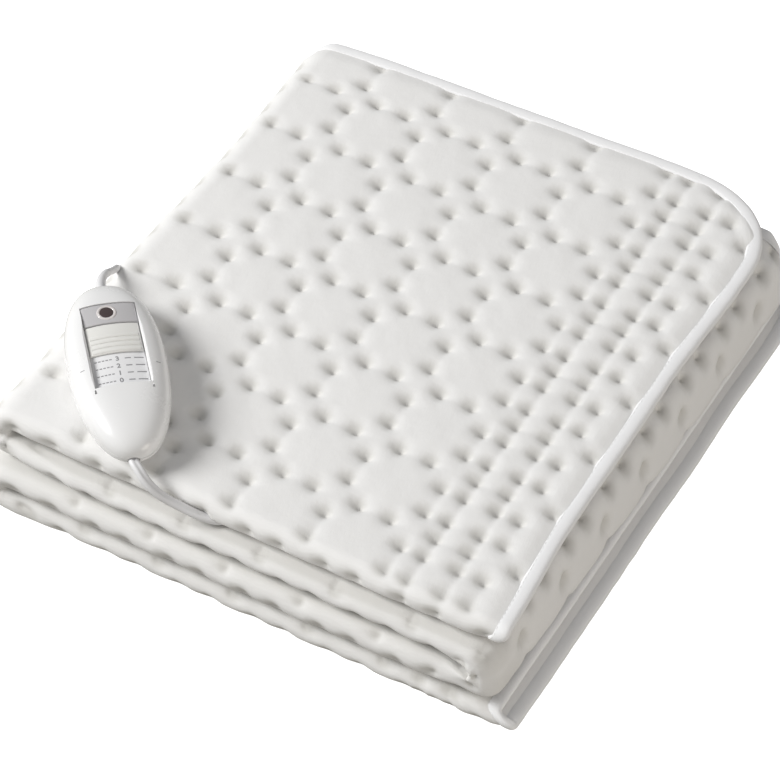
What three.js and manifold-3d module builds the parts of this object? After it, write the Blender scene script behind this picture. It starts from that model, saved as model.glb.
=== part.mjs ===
// A heated mattress pad, folded for the shelf, with its hand switch and leads.
// Millimetres, +Z up. The pad is folded in half across its width, so that the fold
// lies at the front (-Y), and then back and forth along its length into four double
// layers. The dot pattern's repeat is the unit of length for everything in the cloth.
import * as THREE from 'three';
import { mergeVertices } from 'three/addons/utils/BufferGeometryUtils.js';
import Module from 'manifold-3d';

const wasm = await Module();
wasm.setup();

// Driving dimensions
const PITCH = 47;           // one repeat of the welded dot pattern, mm
const TOUCH = 0.3;          // gap left between two pieces that touch, mm
const FLAT_DEPTH = 7.335;   // from the front roll to the bound edges behind, repeats
const CORNER = 0.75;        // radius of the pad's four corners, repeats
const LAYER_GAP = 0.0175;   // between two double layers, repeats
const PLY_GAP = 0.016;      // between the two plies of a double layer, repeats
const EDGE_TAPER = 0.25;    // width over which the cloth thins towards its edge, repeats
const EDGE_THIN = 0.5;      // thickness at the edge as a share of the full thickness
const FOLD_STEPS = 7;       // facets round each fold
const DOT_DEPTH = 0.062;    // welded dot below the crowns, repeats
const VALLEY_DEPTH = 0.022; // furrow between two dots, repeats
const FURROW_DEPTH = 0.035; // the two border furrows, repeats
const FURROWS = [4.3, 4.7]; // where they run, in repeats of the pattern from its origin
const BINDING_WIDE = 7;     // mm
const BINDING_THICK = 6;    // mm

// The four double layers from the top down, all in repeats: height of the middle,
// thickness, how far the front roll reaches, and where the pattern's origin lies.
const LAYERS = [
  { mid: 1.3375, thick: 0.33, front: 3.50, phase: 3.60 },
  { mid: 0.9925, thick: 0.325, front: 3.60, phase: 3.81 },
  { mid: 0.6025, thick: 0.42, front: 3.71, phase: 3.60 },
  { mid: 0.1875, thick: 0.375, front: 3.72, phase: 3.81 },
];
const TOP_END = 5.57;       // the pad's one short end, on the top layer
const BASE_END = 5.73;      // its other short end, on the bottom layer
const LEFT_REACH = [-1.10, -1.15]; // the two folds on the left
const RIGHT_REACH = 5.68;   // the fold on the right

// Path of the double layer seen from the front: straight layers and half-round folds

function foldBetween(k, reach, side) {
  const above = LAYERS[k];
  const below = LAYERS[k + 1];
  const radius = (above.mid - below.mid) / 2;
  const most = 2 * radius - LAYER_GAP;
  const thickIn = Math.min(above.thick, most);
  const thickOut = Math.min(below.thick, most);
  const outer = radius + Math.max(thickIn, thickOut) / 2;
  return {
    x: reach - side * outer,
    z: (above.mid + below.mid) / 2,
    radius, side, thickIn, thickOut,
    length: Math.PI * (radius + (thickIn + thickOut) / 4),
  };
}

const FOLDS = [
  foldBetween(0, LEFT_REACH[0], -1),
  foldBetween(1, RIGHT_REACH, 1),
  foldBetween(2, LEFT_REACH[1], -1),
];
const ENDS = [TOP_END, FOLDS[0].x, FOLDS[1].x, FOLDS[2].x, BASE_END];
const EASE = 0.8; // stretch over which a layer's thickness eases into the fold's

// Stretches of the path in order: layer, fold, layer, fold, layer, fold, layer
const STRETCHES = [];
let pathLength = 0;
for (let k = 0; k < LAYERS.length; k += 1) {
  const length = Math.abs(ENDS[k + 1] - ENDS[k]);
  STRETCHES.push({ kind: 'layer', k, start: pathLength, end: pathLength + length });
  pathLength += length;
  if (k < FOLDS.length) {
    STRETCHES.push({ kind: 'fold', k, start: pathLength, end: pathLength + FOLDS[k].length });
    pathLength += FOLDS[k].length;
  }
}

const mix = (a, b, t) => a + (b - a) * t;
const clamp01 = (t) => Math.min(1, Math.max(0, t));
const smooth = (t) => clamp01(t) ** 2 * (3 - 2 * clamp01(t));

// Place, upward side and thickness of the double layer at a distance s along the path
function pathAt(s) {
  const found = STRETCHES.find((p) => s <= p.end) ?? STRETCHES.at(-1);
  const layer = LAYERS[found.k];
  if (found.kind === 'layer') {
    const heading = found.k % 2 ? 1 : -1;
    const lead = found.k > 0 ? FOLDS[found.k - 1].thickOut : layer.thick;
    const trail = found.k < FOLDS.length ? FOLDS[found.k].thickIn : layer.thick;
    const intoLayer = clamp01((s - found.start) / EASE);
    const intoFold = clamp01((found.end - s) / EASE);
    const thick = mix(lead, layer.thick, intoLayer) + mix(trail, layer.thick, intoFold) - layer.thick;
    const before = found.k > 0 ? LAYERS[found.k - 1] : layer;
    const change = smooth((s - found.start) / EASE);
    return {
      x: ENDS[found.k] + heading * (s - found.start), z: layer.mid,
      nx: 0, nz: found.k % 2 ? -1 : 1, thick,
      front: mix(found.k > 0 ? mix(before.front, layer.front, 0.5) : layer.front, layer.front, change),
      phase: mix(before.phase, layer.phase, change),
    };
  }
  const fold = FOLDS[found.k];
  const turn = clamp01((s - found.start) / fold.length);
  const angle = turn * Math.PI;
  const up = found.k % 2 ? -1 : 1;
  const dx = fold.side * Math.sin(angle);
  const dz = Math.cos(angle);
  return {
    x: fold.x + fold.radius * dx, z: fold.z + fold.radius * dz,
    nx: up * dx, nz: up * dz,
    thick: mix(fold.thickIn, fold.thickOut, turn),
    front: mix(layer.front, mix(layer.front, LAYERS[found.k + 1].front, 0.5), smooth(turn)),
    phase: layer.phase,
  };
}

// The front rolls draw back a little where they run into a fold
function drawnBack(x) {
  return 0.16 * smooth((-0.2 - x) / 0.95) + 0.08 * smooth((x - 5.1) / 0.6);
}

// w runs across the cloth: -1 to 1 is the front roll, and past that the flat plies.
// r is the distance from the middle of the double layer.
function place(s, w, r) {
  const at = pathAt(s);
  const flat = Math.max(0, Math.abs(w) - 1);
  const turn = Math.max(-1, Math.min(1, w)) * Math.PI / 2;
  const back = drawnBack(at.x) * Math.exp(-((flat / 1.2) ** 2));
  const forward = at.front - at.thick / 2 - back - flat + r * Math.cos(turn);
  const across = r * Math.sin(turn);
  return new THREE.Vector3(
    (at.x + across * at.nx) * PITCH, -forward * PITCH, (at.z + across * at.nz) * PITCH);
}

// How far the rounded corners hold the bound edge back, near either short end
function cornerInset(s) {
  const fromEnd = Math.min(s, pathLength - s);
  if (fromEnd >= CORNER) return 0;
  return CORNER - Math.sqrt(Math.max(0, CORNER ** 2 - (CORNER - fromEnd) ** 2));
}

// The mesh is laid out on a rectangle; this draws its edges in to the rounded corners
const CORNER_REACH = 1.6;
function drawnIn(s, w) {
  const flat = Math.abs(w) - 1;
  const from = FLAT_DEPTH - CORNER_REACH;
  if (flat <= from) return w;
  const share = (CORNER_REACH - cornerInset(s)) / CORNER_REACH;
  return Math.sign(w) * (1 + from + (flat - from) * share);
}

// Quilting: each repeat has four welded dots, the corners of eight-sided and
// four-sided crowns
const DOTS = [[0, 0], [0, Math.SQRT2 - 1], [1 - Math.SQRT1_2, Math.SQRT1_2], [Math.SQRT1_2, Math.SQRT1_2]];
const SEAMS = [[0, 1], [2, 3], [1, 2]];
const GRID_U = [0, 1 - Math.SQRT1_2, 0.5, Math.SQRT1_2];
const GRID_V = [0, (Math.SQRT2 - 1) / 2, Math.SQRT2 - 1, Math.SQRT1_2];

function segmentDistance(px, py, a, b) {
  const t = clamp01(((px - a[0]) * (b[0] - a[0]) + (py - a[1]) * (b[1] - a[1]))
    / ((b[0] - a[0]) ** 2 + (b[1] - a[1]) ** 2));
  return Math.hypot(px - mix(a[0], b[0], t), py - mix(a[1], b[1], t));
}

function quiltDepth(u, v) {
  const pu = u - Math.floor(u);
  const pv = v - Math.floor(v);
  let dot = 9;
  let seam = 9;
  for (const [ox, oy] of [[0, 0], [1, 0], [-1, 0], [0, 1], [0, -1], [1, 1], [1, -1], [-1, 1], [-1, -1]]) {
    const dots = DOTS.map(([x, y]) => [x + ox, y + oy]);
    for (const [x, y] of dots) dot = Math.min(dot, Math.hypot(pu - x, pv - y));
    for (const [a, b] of SEAMS) seam = Math.min(seam, segmentDistance(pu, pv, dots[a], dots[b]));
  }
  const border = Math.max(...FURROWS.map((f) => Math.exp(-(((u - f) / 0.07) ** 2))));
  const open = 1 - smooth((u - 4.05) / 0.15) * smooth((4.95 - u) / 0.15);
  return open * (DOT_DEPTH * Math.exp(-((dot / 0.11) ** 2)) + VALLEY_DEPTH * Math.exp(-((seam / 0.12) ** 2)))
    + FURROW_DEPTH * border;
}

function clothAcross(s, w) {
  const quarter = Math.PI / 4 * pathAt(s).thick;
  return Math.abs(w) <= 1 ? w * quarter : Math.sign(w) * (quarter + Math.abs(w) - 1);
}

// A point of the pad's outer face (side 1) or of its inner face (side -1)
function padPoint(s, w, side, quilted) {
  const at = pathAt(s);
  const wide = drawnIn(s, w);
  const ply = (at.thick - PLY_GAP) / 2;
  const middle = (at.thick + PLY_GAP) / 4;
  const fromEdge = Math.min(s, pathLength - s, FLAT_DEPTH + 1 - Math.abs(w));
  const plump = mix(EDGE_THIN, 1, smooth(fromEdge / EDGE_TAPER));
  let r = middle + side * ply / 2 * plump;
  if (quilted && side > 0) {
    const u = TOP_END - s;
    const mirrored = s > pathLength / 2 ? pathLength - s : s;
    r -= quiltDepth(s > pathLength / 2 ? TOP_END - mirrored : u, at.phase - clothAcross(s, wide)) * plump;
  }
  return place(s, wide, r);
}

// Stations along the pad and across it

function between(from, to, values, apart = 0.07) {
  const inside = values.filter((v) => v > from + apart && v < to - apart).sort((a, b) => a - b);
  return [from, ...inside, to];
}

function patternStations(from, to, origin, grid) {
  const values = [];
  for (let i = Math.floor(origin - to) - 1; i <= Math.ceil(origin - from) + 1; i += 1) {
    for (const g of grid) values.push(origin - (i + g));
  }
  return between(from, to, values);
}

const cornerStations = [0, 1, 2, 3, 4, 5, 6].map((j) => CORNER * (1 - Math.cos(j * Math.PI / 12)));
const borderStations = [0.28, 4.97, 4.7, 4.5, 4.3, 4.12].map((u, i) => (i ? TOP_END - u : u));

function even(from, to, steps) {
  return Array.from({ length: steps + 1 }, (_, i) => mix(from, to, i / steps));
}

// Fine stations, with every dot on one, and coarse ones for what the stack hides
function alongStations(stretch, fine) {
  const { start, end, kind, k } = stretch;
  if (kind === 'fold') return even(start, end, FOLD_STEPS);
  const eased = [start + EASE, end - EASE];
  const corners = [...cornerStations, ...cornerStations.map((c) => pathLength - c)];
  if (!fine) {
    const ends = corners.filter((c) => c > start && c < end);
    return between(start, end, [...ends, ...eased, mix(start, end, 0.4), mix(start, end, 0.6)], 0.01);
  }
  if (k === 0) {
    const plain = patternStations(1.6, end, TOP_END, GRID_U);
    return between(start, end, [...cornerStations, ...borderStations.filter((s) => s > 0.2), ...plain], 0.02);
  }
  if (k === 3) {
    const plain = patternStations(start, pathLength - 1.6, pathLength - TOP_END, GRID_U);
    const ends = [...cornerStations, 0.87, 1.27].map((c) => pathLength - c);
    return between(start, end, [...ends, ...plain], 0.02);
  }
  return patternStations(start, end, TOP_END, GRID_U);
}

const FRONT_STATIONS = [-1, -0.7, -0.4, -0.13, 0.13, 0.4, 0.7, 1];
const EDGE = 1 + FLAT_DEPTH;

function acrossStations(side, fine, phase, thick) {
  const quarter = Math.PI / 4 * thick;
  const rim = EDGE - 0.12;
  if (!fine) {
    const coarse = [1, 2.6, 4.2, EDGE - CORNER_REACH, EDGE];
    return side > 0 ? coarse : coarse.map((w) => -w).reverse();
  }
  const toW = (c) => Math.sign(c) * (Math.abs(c) - quarter + 1);
  const cloth = patternStations(
    side > 0 ? quarter : -(quarter + FLAT_DEPTH), side > 0 ? quarter + FLAT_DEPTH : -quarter, phase, GRID_V);
  const ws = cloth.map(toW).filter((w) => Math.abs(Math.abs(w) - rim) > 0.07);
  ws.push(side * rim);
  return ws.sort((a, b) => a - b).map((w) => (Math.abs(Math.abs(w) - 1) < 1e-9 ? Math.sign(w) : w));
}

// Blocks of the pad's two faces, the finest first. A block is seen, and so quilted,
// or hidden inside the stack.
function blocks() {
  const list = [];
  for (const stretch of STRETCHES) {
    const { kind, k } = stretch;
    const seenAbove = (kind === 'layer' && k === 0) || (kind === 'fold' && k !== 1);
    const seenBelow = kind === 'fold' && k === 1;
    const thick = kind === 'fold' ? FOLDS[k].thickOut : LAYERS[k].thick;
    list.push({ side: 1, seen: true, s: alongStations(stretch, true), w: FRONT_STATIONS });
    for (const [side, seen] of [[1, seenAbove], [-1, seenBelow]]) {
      list.push({
        side: 1, seen,
        s: alongStations(stretch, seen),
        w: acrossStations(side, seen, LAYERS[k].phase, thick),
      });
      list.push({ side: -1, seen: false, s: alongStations(stretch, false), w: acrossStations(side, false) });
    }
    list.push({ side: -1, seen: false, s: alongStations(stretch, false), w: [-1, -0.5, 0, 0.5, 1] });
  }
  return list.sort((a, b) => b.seen - a.seen);
}

// Builds the pad's closed mesh. Where a fine block meets a coarse one, the coarse
// cell takes in the finer stations on its edge, so no crack opens.
function padMesh() {
  const positions = [];
  const triangles = [];
  const index = new Map();
  const onAlong = new Map();
  const onAcross = new Map();
  const round = (v) => Math.round(v * 1e5);
  const note = (map, line, at) => {
    if (!map.has(line)) map.set(line, new Map());
    map.get(line).set(round(at), at);
  };
  const add = (point) => positions.push(point.x, point.y, point.z) / 3 - 1;
  const vertex = (side, s, w, quilted) => {
    const key = `${side}:${round(s)}:${round(w)}`;
    if (!index.has(key)) index.set(key, add(padPoint(s, w, side, quilted)));
    return index.get(key);
  };
  const all = blocks();
  for (const block of all) {
    const edgeS = (s) => s === 0 || Math.abs(s - pathLength) < 1e-9;
    const edgeW = (w) => Math.abs(Math.abs(w) - EDGE) < 1e-9;
    for (const s of block.s) {
      for (const w of block.w) {
        const sides = edgeS(s) || edgeW(w) ? [1, -1] : [block.side];
        for (const side of sides) {
          note(onAlong, `${side}:${round(w)}`, s);
          note(onAcross, `${side}:${round(s)}`, w);
        }
        vertex(block.side, s, w, block.seen);
      }
    }
  }
  const stationsOn = (map, line, from, to) => {
    const found = [...map.get(line).values()].filter((v) => v >= from - 1e-7 && v <= to + 1e-7);
    return found.sort((a, b) => a - b);
  };
  const face = (side, a, b, c) => {
    if (side > 0) triangles.push(a, b, c);
    else triangles.push(a, c, b);
  };
  for (const block of all) {
    for (let i = 0; i + 1 < block.s.length; i += 1) {
      for (let j = 0; j + 1 < block.w.length; j += 1) {
        const [s0, s1, w0, w1] = [block.s[i], block.s[i + 1], block.w[j], block.w[j + 1]];
        const { side } = block;
        const ring = [];
        for (const s of stationsOn(onAlong, `${side}:${round(w0)}`, s0, s1)) ring.push([s, w0]);
        for (const w of stationsOn(onAcross, `${side}:${round(s1)}`, w0, w1).slice(1)) ring.push([s1, w]);
        for (const s of stationsOn(onAlong, `${side}:${round(w1)}`, s0, s1).reverse().slice(1)) ring.push([s, w1]);
        for (const w of stationsOn(onAcross, `${side}:${round(s0)}`, w0, w1).reverse().slice(1, -1)) {
          ring.push([s0, w]);
        }
        const ids = ring.map(([s, w]) => vertex(side, s, w, false));
        if (ids.length === 4) {
          const flip = (i + j) % 2;
          if (flip) {
            face(side, ids[0], ids[1], ids[3]);
            face(side, ids[1], ids[2], ids[3]);
          } else {
            face(side, ids[0], ids[1], ids[2]);
            face(side, ids[0], ids[2], ids[3]);
          }
        } else {
          const centre = add(padPoint((s0 + s1) / 2, (w0 + w1) / 2, side, false));
          ids.forEach((id, n) => face(side, id, ids[(n + 1) % ids.length], centre));
        }
      }
    }
  }
  const wall = (from, to, ccw) => {
    const a = vertex(1, ...from, false);
    const b = vertex(1, ...to, false);
    const c = vertex(-1, ...to, false);
    const d = vertex(-1, ...from, false);
    if (ccw) triangles.push(a, d, b, b, d, c);
    else triangles.push(a, b, d, b, c, d);
  };
  for (const w of [-EDGE, EDGE]) {
    const line = stationsOn(onAlong, `1:${round(w)}`, 0, pathLength);
    for (let i = 0; i + 1 < line.length; i += 1) wall([line[i], w], [line[i + 1], w], w < 0);
  }
  for (const s of [0, pathLength]) {
    const line = stationsOn(onAcross, `1:${round(s)}`, -EDGE, EDGE);
    for (let i = 0; i + 1 < line.length; i += 1) wall([s, line[i]], [s, line[i + 1]], s > 0);
  }
  const geometry = new THREE.BufferGeometry();
  geometry.setAttribute('position', new THREE.Float32BufferAttribute(positions, 3));
  geometry.setIndex(triangles);
  return geometry;
}

// Joining and cutting

function solidOf(geometry) {
  const bare = geometry.clone();
  bare.deleteAttribute('normal');
  bare.deleteAttribute('uv');
  const merged = mergeVertices(bare, 1e-4);
  return new wasm.Manifold(new wasm.Mesh({
    numProp: 3,
    vertProperties: new Float32Array(merged.attributes.position.array),
    triVerts: new Uint32Array(merged.index.array),
  }));
}

function geometryOf(solid) {
  const mesh = solid.getMesh();
  const geometry = new THREE.BufferGeometry();
  geometry.setAttribute('position', new THREE.Float32BufferAttribute(mesh.vertProperties, 3));
  geometry.setIndex(Array.from(mesh.triVerts));
  return geometry;
}

// Makes the faces of a closed mesh point out, whichever way its rows were laid
function facingOut(geometry) {
  const p = geometry.attributes.position;
  const ids = geometry.index.array;
  const [a, b, c] = [new THREE.Vector3(), new THREE.Vector3(), new THREE.Vector3()];
  let volume = 0;
  for (let i = 0; i < ids.length; i += 3) {
    a.fromBufferAttribute(p, ids[i]);
    b.fromBufferAttribute(p, ids[i + 1]);
    c.fromBufferAttribute(p, ids[i + 2]);
    volume += a.dot(b.cross(c));
  }
  if (volume < 0) {
    for (let i = 0; i < ids.length; i += 3) [ids[i], ids[i + 1]] = [ids[i + 1], ids[i]];
  }
  return geometry;
}

// A closed skin over rings of points, each ring with the same number of them. A ring
// list that closes on itself makes a hoop, and otherwise both ends get a cap.
function loft(rings, hoop = false) {
  const count = rings[0].length;
  const positions = rings.flat().flatMap((p) => [p.x, p.y, p.z]);
  const triangles = [];
  const last = hoop ? rings.length : rings.length - 1;
  for (let i = 0; i < last; i += 1) {
    const next = (i + 1) % rings.length;
    for (let j = 0; j < count; j += 1) {
      const k = (j + 1) % count;
      const [a, b, c, d] = [i * count + j, i * count + k, next * count + k, next * count + j];
      triangles.push(a, b, c, a, c, d);
    }
  }
  if (!hoop) {
    for (const i of [0, rings.length - 1]) {
      const centre = rings[i].reduce((sum, p) => sum.add(p), new THREE.Vector3()).divideScalar(count);
      const hub = positions.push(centre.x, centre.y, centre.z) / 3 - 1;
      for (let j = 0; j < count; j += 1) {
        const [a, b] = [i * count + j, i * count + (j + 1) % count];
        triangles.push(hub, ...(i ? [a, b] : [b, a]));
      }
    }
  }
  const geometry = new THREE.BufferGeometry();
  geometry.setAttribute('position', new THREE.Float32BufferAttribute(positions, 3));
  geometry.setIndex(triangles);
  return facingOut(geometry);
}

// Edge binding: a round-edged tape that follows the pad's edge through every fold

function bindingMesh() {
  const stations = [];
  const side = (sign) => {
    const line = [];
    for (const stretch of STRETCHES) {
      const from = Math.max(stretch.start, CORNER);
      const to = Math.min(stretch.end, pathLength - CORNER);
      const inner = stretch.kind === 'fold' ? even(from, to, FOLD_STEPS)
        : between(from, to, [stretch.start + EASE, stretch.end - EASE], 0.05);
      line.push(...inner.slice(line.length ? 1 : 0));
    }
    return line.map((s) => ({ s, w: sign * EDGE, ns: 0, nw: sign }));
  };
  // A quarter round the corner at one end, from the long edge to the short one
  const corner = (end, sign) => even(0, Math.PI / 2, 6).slice(1, -1).map((angle) => {
    const along = CORNER - CORNER * Math.sin(angle);
    const outward = end === 0 ? -1 : 1;
    return {
      s: end === 0 ? along : pathLength - along,
      w: sign * (EDGE - CORNER + CORNER * Math.cos(angle)),
      ns: outward * Math.sin(angle), nw: sign * Math.cos(angle),
    };
  });
  const across = (end) => {
    const flat = EDGE - CORNER;
    const ws = [-flat, ...FRONT_STATIONS, flat];
    return ws.map((w) => ({ s: end, w, ns: end === 0 ? -1 : 1, nw: 0 }));
  };
  stations.push(...side(1), ...corner(pathLength, 1), ...across(pathLength).reverse());
  stations.push(...corner(pathLength, -1).reverse(), ...side(-1).reverse(), ...corner(0, -1));
  stations.push(...across(0), ...corner(0, 1).reverse());
  const [g, wide, half] = [TOUCH / PITCH, BINDING_WIDE / PITCH, BINDING_THICK / 2 / PITCH];
  const section = [
    [g, -half * 0.8], [g + wide * 0.45, -half], [g + wide * 0.85, -half * 0.65], [g + wide, 0],
    [g + wide * 0.85, half * 0.65], [g + wide * 0.45, half], [g, half * 0.8],
  ];
  const rings = stations.map(({ s, w, ns, nw }) => section.map(([out, rise]) => {
    const middle = (pathAt(s).thick + PLY_GAP) / 4;
    return place(s + ns * out, w + nw * out, middle + rise);
  }));
  return loft(rings, true);
}

// Hand switch, in its own frame: +Y towards the mains end, Z = 0 under its flat base

const SWITCH_LONG = 127;
const SWITCH_WIDE = 55;
const SEAM_HEIGHT = 10;
const SWITCH_HIGH = 26;
const SHELL_SIDES = 44;
const TRACK_WIDE = 31;
const TRACK_FROM = -21;     // lower end of the recessed track
const TRACK_TO = 41;        // upper end
const WINDOW_FROM = 25.4;
const SLIDER_FROM = 3.6;
const SLIDER_TRAVEL = 17.4; // three steps of 5.8
const FACE_RADIUS = 62;     // the face is rounded from side to side
const FACE_HIGH = 25.4;     // of the face's crest along the track
const TRACK_DEEP = 4.2;     // floor of the track below the face

function switchOutline(angle, scale) {
  const [c, s] = [Math.cos(angle), Math.sin(angle)];
  const y = Math.sign(s) * Math.abs(s) ** 0.9 * SWITCH_LONG / 2;
  const fullness = 1 + 0.07 * y / (SWITCH_LONG / 2);
  const x = Math.sign(c) * Math.abs(c) ** 0.9 * SWITCH_WIDE / 2 * fullness;
  return [x * scale, y * scale];
}

// Half of the egg-shaped body, from its widest ring at z0 to its flattened end at z1
function shellHalf(z0, z1, flatness, rows) {
  const rings = even(0, Math.PI / 2, rows).slice(0, -1).map((t) => {
    const scale = Math.cos(t) ** (2 / flatness);
    const z = mix(z0, z1, Math.sin(t) ** (2 / 2.3));
    return Array.from({ length: SHELL_SIDES }, (_, j) => {
      const [x, y] = switchOutline(j / SHELL_SIDES * 2 * Math.PI, scale);
      return new THREE.Vector3(x, y, z);
    });
  });
  const top = rings.at(-1).map((p) => new THREE.Vector3(p.x, p.y, z1));
  rings[rings.length - 1] = top;
  return loft(rings);
}

// A strip of arched section running along Y: the face's curve lowered by two depths
function archStrip(halfWide, depthTop, depthBottom, from, to, steps = 6) {
  const arch = (x, depth) => FACE_HIGH - depth - (FACE_RADIUS - Math.sqrt(FACE_RADIUS ** 2 - x ** 2));
  const xs = even(-halfWide, halfWide, steps);
  const shape = new THREE.Shape([
    ...xs.map((x) => new THREE.Vector2(x, arch(x, depthBottom))),
    ...xs.reverse().map((x) => new THREE.Vector2(x, arch(x, depthTop))),
  ]);
  const strip = new THREE.ExtrudeGeometry(shape, { depth: to - from, bevelEnabled: false });
  strip.rotateX(Math.PI / 2);
  strip.translate(0, to, 0);
  return strip;
}

function cylinderAlong(radius, from, to, sides = 16) {
  const axis = new THREE.Vector3().subVectors(to, from);
  const rod = new THREE.CylinderGeometry(radius, radius, axis.length(), sides);
  rod.translate(0, axis.length() / 2, 0);
  rod.applyQuaternion(new THREE.Quaternion().setFromUnitVectors(
    new THREE.Vector3(0, 1, 0), axis.clone().normalize()));
  rod.translate(from.x, from.y, from.z);
  return rod;
}

const MAINS_EXIT = new THREE.Vector3(0, SWITCH_LONG / 2 - 2.5, 11.2);
const PAD_EXIT = new THREE.Vector3(-1.5, -SWITCH_LONG / 2 + 3.5, 8.4);
const MAINS_THICK = 4.4;
const PAD_LEAD_WIDE = 5.6;
const PAD_LEAD_THICK = 4.4;
const RELIEF_LONG = 21;
const RELIEF_THICK = 6;

function switchShells() {
  const lower = solidOf(shellHalf(SEAM_HEIGHT, 0, 3.4, 7));
  const upper = solidOf(shellHalf(SEAM_HEIGHT + TOUCH, SWITCH_HIGH, 2.9, 8));
  const track = solidOf(archStrip(TRACK_WIDE / 2, -6, TRACK_DEEP, TRACK_FROM, TRACK_TO));
  const mains = solidOf(cylinderAlong(RELIEF_THICK / 2 + TOUCH,
    MAINS_EXIT, MAINS_EXIT.clone().add(new THREE.Vector3(0, 20, 0))));
  const socket = solidOf(cylinderAlong(PAD_LEAD_WIDE / 2 + 1.6,
    PAD_EXIT, PAD_EXIT.clone().add(new THREE.Vector3(0, -20, 0))));
  return {
    lower: geometryOf(lower.subtract(mains).subtract(socket)),
    upper: geometryOf(upper.subtract(track).subtract(mains).subtract(socket)),
  };
}

const trackHalf = TRACK_WIDE / 2 - TOUCH;
const WINDOW_DEEP = 1.3;
const PLATE_THICK = 1.0;
const SLIDER_PROUD = 0.3;
const RIDGES = 4;
const RIDGE_PITCH = 4.1;

function switchWindow() {
  return archStrip(trackHalf, WINDOW_DEEP, TRACK_DEEP - TOUCH, WINDOW_FROM + TOUCH, TRACK_TO - TOUCH);
}

function switchLabel() {
  return archStrip(trackHalf, TRACK_DEEP - TOUCH - PLATE_THICK, TRACK_DEEP - TOUCH,
    TRACK_FROM + TOUCH, WINDOW_FROM - TOUCH);
}

// The slider is a plate over the label with a row of grip ridges on its lower part
function switchSlider() {
  const under = TRACK_DEEP - 2 * TOUCH - PLATE_THICK;
  const half = trackHalf - 0.4;
  let slider = solidOf(archStrip(half, 1.2, under, SLIDER_FROM, WINDOW_FROM - 0.4));
  for (let i = 0; i < RIDGES; i += 1) {
    const y = SLIDER_FROM + 0.6 + i * RIDGE_PITCH;
    slider = slider.add(solidOf(archStrip(half - 1, -SLIDER_PROUD, 1.6, y, y + 1.7)));
  }
  return geometryOf(slider);
}

// The switch's place on the top layer
const SWITCH_AT = [-0.06, 2.52];   // its middle, in repeats from the pattern's origin
const SWITCH_TURN = 40;            // degrees
const topHeight = (LAYERS[0].mid + LAYERS[0].thick / 2) * PITCH;
const switchMatrix = new THREE.Matrix4().makeRotationZ(THREE.MathUtils.degToRad(SWITCH_TURN))
  .setPosition(SWITCH_AT[0] * PITCH, -SWITCH_AT[1] * PITCH, topHeight + TOUCH);
const fromSwitch = (x, y, z) => new THREE.Vector3(x, y, z).applyMatrix4(switchMatrix);

// Leads. A route's points are in repeats: right, forward and up from the floor, so
// the same numbers serve as millimetres once scaled.
const repeatsToPoint = ([u, v, h]) => new THREE.Vector3(u * PITCH, -v * PITCH, h * PITCH);

function tubeAlong(curve, wide, thick, steps, sides) {
  const ring = Array.from({ length: sides }, (_, j) => {
    const angle = (j + 0.5) / sides * 2 * Math.PI;
    return new THREE.Vector2(thick / 2 * Math.cos(angle), wide / 2 * Math.sin(angle));
  });
  return new THREE.ExtrudeGeometry(new THREE.Shape(ring), { steps, bevelEnabled: false, extrudePath: curve });
}

const padLeadStart = fromSwitch(PAD_EXIT.x, PAD_EXIT.y - TOUCH, PAD_EXIT.z);
const PAD_LEAD_ROUTE = [
  [0.80, 3.56, 1.615], [0.94, 3.615, 1.49], [1.06, 3.60, 1.32], [1.20, 3.545, 1.215],
  [1.36, 3.525, 1.195], [1.52, 3.51, 1.185], [1.68, 3.46, 1.172], [1.83, 3.34, 1.164],
  [1.96, 3.18, 1.164], [2.06, 3.00, 1.164], [2.12, 2.82, 1.164],
];
const padLeadCurve = new THREE.CatmullRomCurve3([
  padLeadStart, fromSwitch(PAD_EXIT.x, PAD_EXIT.y - 6, PAD_EXIT.z - 0.2),
  ...PAD_LEAD_ROUTE.map(repeatsToPoint)], false, 'centripetal');

const reliefEnd = MAINS_EXIT.y + RELIEF_LONG;
const mainsStart = fromSwitch(MAINS_EXIT.x, reliefEnd + TOUCH, MAINS_EXIT.z);
const FLOOR = MAINS_THICK / 2 / PITCH; // a lead's middle when it lies on the floor
const MAINS_ROUTE = [
  [-1.16, 0.93, 1.60], [-1.20, 0.74, 1.475], [-1.225, 0.60, 1.31], [-1.235, 0.49, 1.10],
  [-1.235, 0.44, 0.88], [-1.235, 0.46, 0.64], [-1.24, 0.54, 0.42], [-1.25, 0.70, 0.22],
  [-1.26, 0.92, 0.09], [-1.27, 1.18, FLOOR], [-1.28, 1.50, FLOOR], [-1.29, 1.80, FLOOR],
  [-1.33, 2.10, FLOOR], [-1.42, 2.40, FLOOR], [-1.54, 2.68, FLOOR], [-1.635, 2.92, FLOOR],
  [-1.674, 3.088, FLOOR],
];
const mainsCurve = new THREE.CatmullRomCurve3([
  mainsStart, fromSwitch(MAINS_EXIT.x, reliefEnd + 4, MAINS_EXIT.z - 0.3),
  ...MAINS_ROUTE.map(repeatsToPoint)], false, 'centripetal');

// The rest of the mains lead is wound up beside the pad, with the plug at its end
const COIL_AT = [-2.35, 3.45];
const COIL_RADIUS = 25;
const COIL_ACROSS = 4;      // turns side by side
const COIL_HIGH = 3;        // turns one on another
const TIE_THICK = 0.8;
const TIE_WIDE = 7;
const coilWide = COIL_ACROSS * MAINS_THICK;
const coilHigh = COIL_HIGH * MAINS_THICK;
const coilBase = TIE_THICK + TOUCH;

// The coil's bundle of turns, or the inside or outside of the tie round it. The tie
// is straight where the coil curves, so it stands off more at the sides.
const COIL_SIDES = 32;
const TIE_SLACK = 0.4;
const TIE_FACET = 12.5;     // the facet of the coil that the tie sits on

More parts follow.
